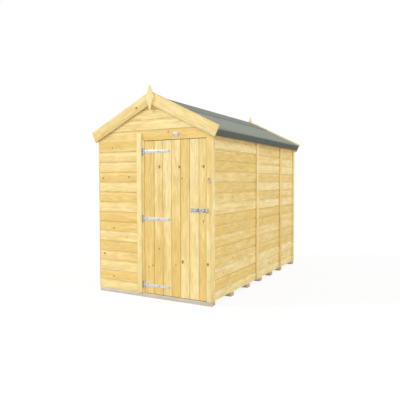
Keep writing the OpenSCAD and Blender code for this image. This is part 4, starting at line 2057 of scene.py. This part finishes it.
@dataclass
class Fittings:
    """Steel fittings: hinges, pad bolt, turn button and a bare plate.

    Args:
        face: outer face of the front wall and the door.
        hinges: heights of the hinges.
        hinge_thick: thickness of the straps and leaves.
        strap_holes: screws of a strap, along the wall, from its middle line, and radius.
        leaf_holes: screws of a leaf, in the same way.
        bolt_z: height of the pad bolt.
        bolt_thick: thickness of its plate and its keeper.
        bolt_holes: screws of its plate, in the same way.
        keeper_holes: screws of its keeper, in the same way.
        plate: middle of the bare plate over the door.
        plate_size: width, height and thickness of the bare plate.
        plate_corner: radius of its corners.
        plate_holes: its screws from its middle, and radius.
    """

    face: float = span("door_boards", Y)[0]
    hinges: tuple[float, ...] = middles("door_ledges", Z)
    hinge_thick: float = 2.5
    strap_holes: tuple[Triple, ...] = ((-54.0, 9.0, 5.8), (95.0, 0.0, 5.8), (229.0, 0.0, 5.8))
    leaf_holes: tuple[Triple, ...] = tuple((-117.0, rise, 4.2) for rise in (-27.0, 0.0, 27.0))
    bolt_z: float = middles("sliding_bolt", Z)[0]
    bolt_thick: float = 2.0
    bolt_holes: tuple[Triple, ...] = tuple(
        (along, side * rise, radius)
        for along, rise, radius in ((508.5, 13.4, 5.0), (584.0, 12.0, 6.8), (655.0, 13.4, 5.0))
        for side in (1, -1)
    )
    keeper_holes: tuple[Triple, ...] = tuple(
        (middles("bolt_keeper", X)[0], rise, 5.0) for rise in (-17.0, 17.0)
    )
    plate: tuple[float, float] = (317.0, 1788.0)
    plate_size: Triple = (72.0, 42.0, 1.5)
    plate_corner: float = 5.0
    plate_holes: tuple[Triple, ...] = ((-27.0, 0.0, 4.4), (27.0, 0.0, 4.4))

    def rounded(self, name: str, node: str, body: Body, finish: Finish, ease: float) -> None:
        """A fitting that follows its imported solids, with its edges rounded.

        Args:
            name: name of the piece.
            node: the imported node.
            body: body that it moves with.
            finish: its finish.
            ease: width of the rounding.
        """
        mesh = PieceMesh(name)
        for solid in node_solids(node):
            eased(solid, ease)
            mesh.add(solid, Lay())
        mesh.piece(finish, body, [node])

    def screwed(
        self, name: str, body: Body, thick: float, starts: Outline, holes: Sequence[Triple]
    ) -> None:
        """Screws of a kind of fitting.

        Args:
            name: name of the piece.
            body: body that they move with.
            thick: thickness of the fitting.
            starts: places along the wall and heights that the holes are measured from, one for
                each such fitting.
            holes: the holes, along the wall and up, with the radius of the screw.
        """
        spots = [
            (Vector((x + along, self.face - thick, z + rise)), radius)
            for x, z in starts for along, rise, radius in holes
        ]
        screws(name, spots, -Y, body)

    def bare_plate(self) -> None:
        """The bare plate, with rounded corners, and its two screws."""
        mesh, solid = PieceMesh("bare_plate"), bmesh.new()
        wide, high, thick = self.plate_size
        corner, facets, ease = self.plate_corner, 5, 0.4
        outline = []
        for i, side in enumerate(((1, 1), (-1, 1), (-1, -1), (1, -1))):
            x = self.plate[0] + side[0] * (wide / 2 - corner)
            z = self.plate[1] + side[1] * (high / 2 - corner)
            for j in range(facets + 1):
                a = math.pi / 2 * (i + j / facets)
                outline.append((x + corner * math.cos(a), z + corner * math.sin(a)))
        rings = [
            [solid.verts.new((x, y, z)) for x, z in outline]
            for y in (self.face, self.face - thick)
        ]
        close_rings(solid, rings)
        eased(solid, ease)
        mesh.add(solid, Lay())
        mesh.piece(Finish.PLATE_ZINC, Body.SHED)
        self.screwed("plate_screws", Body.SHED, thick, [self.plate], self.plate_holes)

    def dress(self) -> None:
        """Builds and dresses the fittings."""
        fittings = (
            ("straps", "hinge_straps", Body.DOOR, Finish.ZINC, 0.5),
            ("leaves", "hinge_leaves", Body.SHED, Finish.LEAF_ZINC, 0.5),
            ("pad_bolt_plate", "bolt_plate", Body.DOOR, Finish.PLATE_ZINC, 0.4),
            ("pad_bolt_rod", "sliding_bolt", Body.BOLT, Finish.ROD_ZINC, 0.6),
            ("pad_bolt_keeper", "bolt_keeper", Body.SHED, Finish.PLATE_ZINC, 0.4),
            ("button", "turn_button", Body.BUTTON, Finish.LEAF_ZINC, 0.6),
            ("button_pivot", "button_screw", Body.SHED, Finish.SCREW, 0.4),
        )
        for fitting in fittings:
            self.rounded(*fitting)
        hinge, hinges = self.hinge_thick, [(0.0, z) for z in self.hinges]
        bolt, bolts = self.bolt_thick, [(0.0, self.bolt_z)]
        self.screwed("strap_screws", Body.DOOR, hinge, hinges, self.strap_holes)
        self.screwed("leaf_screws", Body.SHED, hinge, hinges, self.leaf_holes)
        self.screwed("bolt_plate_screws", Body.DOOR, bolt, bolts, self.bolt_holes)
        self.screwed("keeper_screws", Body.SHED, bolt, bolts, self.keeper_holes)
        self.bare_plate()


@dataclass
class Studio:
    """Pale floor, soft light and the camera.

    Args:
        eye: place of the camera in metres.
        yaw: turn of the camera to the right of the length of the shed, in degrees.
        pitch: how far it looks down, in degrees.
        roll: how far it is tilted, in degrees.
        lens: its focal length.
        sensor: width of its picture.
        sky: strength of the soft light from all sides.
        key: strength of the light from the upper left.
        key_from: direction that it comes from.
        key_spread: how wide it is, in degrees.
        fill: strength of the wide light from the right.
        fill_from: direction that it comes from.
        fill_spread: how wide it is, in degrees.
        white_share: share of plain white in the floor, as the camera sees it.
        floor_white: colour of the rest of the floor, as the camera sees it.
        floor_tone: how much light the floor throws back.
        floor_rough: roughness of the floor.
        floor_gloss: how much the floor mirrors.
        floor_reach: half the width of the floor in metres.
    """

    eye: Triple = (2.8593, -5.4402, 1.3065)
    yaw: float = -29.0
    pitch: float = 2.58
    roll: float = 0.08
    lens: float = 40.63
    sensor: float = 36.0
    sky: float = 0.805
    key: float = 1.2
    key_from: Triple = (-0.72, -0.45, 0.53)
    key_spread: float = 8.0
    fill: float = 0.88
    fill_from: Triple = (0.85, -0.42, 0.32)
    fill_spread: float = 80.0
    white_share: float = 0.88
    floor_white: float = 0.97
    floor_tone: float = 0.62
    floor_rough: float = 0.9
    floor_gloss: float = 0.1
    floor_reach: float = 40.0

    def camera(self) -> None:
        """The camera at the photograph's view."""
        data = bpy.data.cameras.new("view")
        data.sensor_width, data.lens = self.sensor, self.lens
        made = placed("view", data)
        yaw, pitch, roll = (math.radians(a) for a in (self.yaw, self.pitch, self.roll))
        ahead = Vector(
            (math.sin(yaw) * math.cos(pitch), math.cos(yaw) * math.cos(pitch), -math.sin(pitch))
        )
        right = Vector((math.cos(yaw), -math.sin(yaw), 0))
        down = ahead.cross(right)
        right, down = (
            right * math.cos(roll) + down * math.sin(roll),
            down * math.cos(roll) - right * math.sin(roll),
        )
        turn = Matrix((right, -down, -ahead)).transposed()
        made.matrix_world = Matrix.Translation(self.eye) @ turn.to_4x4()
        bpy.context.scene.camera = made

    @staticmethod
    def seen_rays(g: Graph) -> Socket:
        """Rays that come from the camera, a mirror or a glass.

        Args:
            g: tree of the world or the material.

        Returns:
            1 for such rays, and 0 for the light's own.
        """
        path = g.node("LightPath")
        seen = g.math("MAXIMUM", path.outputs["Is Camera Ray"], path.outputs["Is Glossy Ray"])
        return g.math("MAXIMUM", seen, path.outputs["Is Transmission Ray"])

    def surroundings(self) -> None:
        """White surroundings that give a plain soft light."""
        world = bpy.data.worlds.new("studio")
        world.use_nodes = True
        g, nodes = Graph(world.node_tree), world.node_tree.nodes
        plain = g.fed(nodes["Background"], (1, 1, 1, 1), self.sky)
        white = g.fed(g.node("Background"), (1, 1, 1, 1), 1.0)
        shaders = (self.seen_rays(g), plain.outputs[0], white.outputs[0])
        both = g.fed(g.node("MixShader"), *shaders)
        g.feed(nodes["World Output"].inputs["Surface"], both.outputs[0])
        bpy.context.scene.world = world

    def ground(self) -> None:
        """The pale floor, which keeps a soft shadow."""
        mesh = bpy.data.meshes.new("studio_floor")
        turns = ((-1, -1), (1, -1), (1, 1), (-1, 1))
        corners = [(x * self.floor_reach, y * self.floor_reach, 0) for x, y in turns]
        mesh.from_pydata(corners, [], [(0, 1, 2, 3)])
        material, g, shader = fresh_material("studio_floor")
        seen = self.seen_rays(g)
        tones = [(*(tone,) * 3, 1.0) for tone in (self.floor_tone, self.floor_white)]
        g.feed(shader.inputs["Base Color"], g.mix(seen, *tones))
        shader.inputs["Roughness"].default_value = self.floor_rough
        shader.inputs["Specular IOR Level"].default_value = self.floor_gloss
        glow = g.node("Emission")
        shaders = (g.times(seen, self.white_share), shader.outputs[0], glow.outputs[0])
        both = g.fed(g.node("MixShader"), *shaders)
        g.feed(material.node_tree.nodes["Material Output"].inputs["Surface"], both.outputs[0])
        mesh.materials.append(material)
        placed("studio_floor", mesh)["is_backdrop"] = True

    @staticmethod
    def lamp(name: str, strength: float, source: Triple, spread: float) -> None:
        """A far lamp.

        Args:
            name: its name.
            strength: its strength.
            source: direction that it comes from.
            spread: how wide it is, in degrees.
        """
        data = bpy.data.lights.new(name, "SUN")
        data.energy, data.angle = strength, math.radians(spread)
        made = placed(name, data)
        made.rotation_euler = Vector(source).to_track_quat("Z", "Y").to_euler()

    def set_up(self) -> None:
        """Sets the whole studio up."""
        self.camera()
        self.surroundings()
        self.ground()
        self.lamp("key", self.key, self.key_from, self.key_spread)
        self.lamp("fill", self.fill, self.fill_from, self.fill_spread)
        bpy.context.scene.view_settings.view_transform = "Standard"


def write_sizes() -> None:
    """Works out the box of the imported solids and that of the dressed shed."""
    rows = {
        name: [list(corner) for corner in box]
        for name, box in (("cad", CAD_BOX), ("visual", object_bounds()))
    }


def main() -> None:
    """Builds and dresses the shed, piece by piece."""
    logging.basicConfig(level=logging.INFO, format="%(message)s")
    for part in (Floor(), Walls(), Roof(), Door(), Fittings()):
        part.dress()
        LOG.info("%s done", type(part).__name__)
    Studio().set_up()
    write_sizes()


if __name__ == "__main__":
    main()
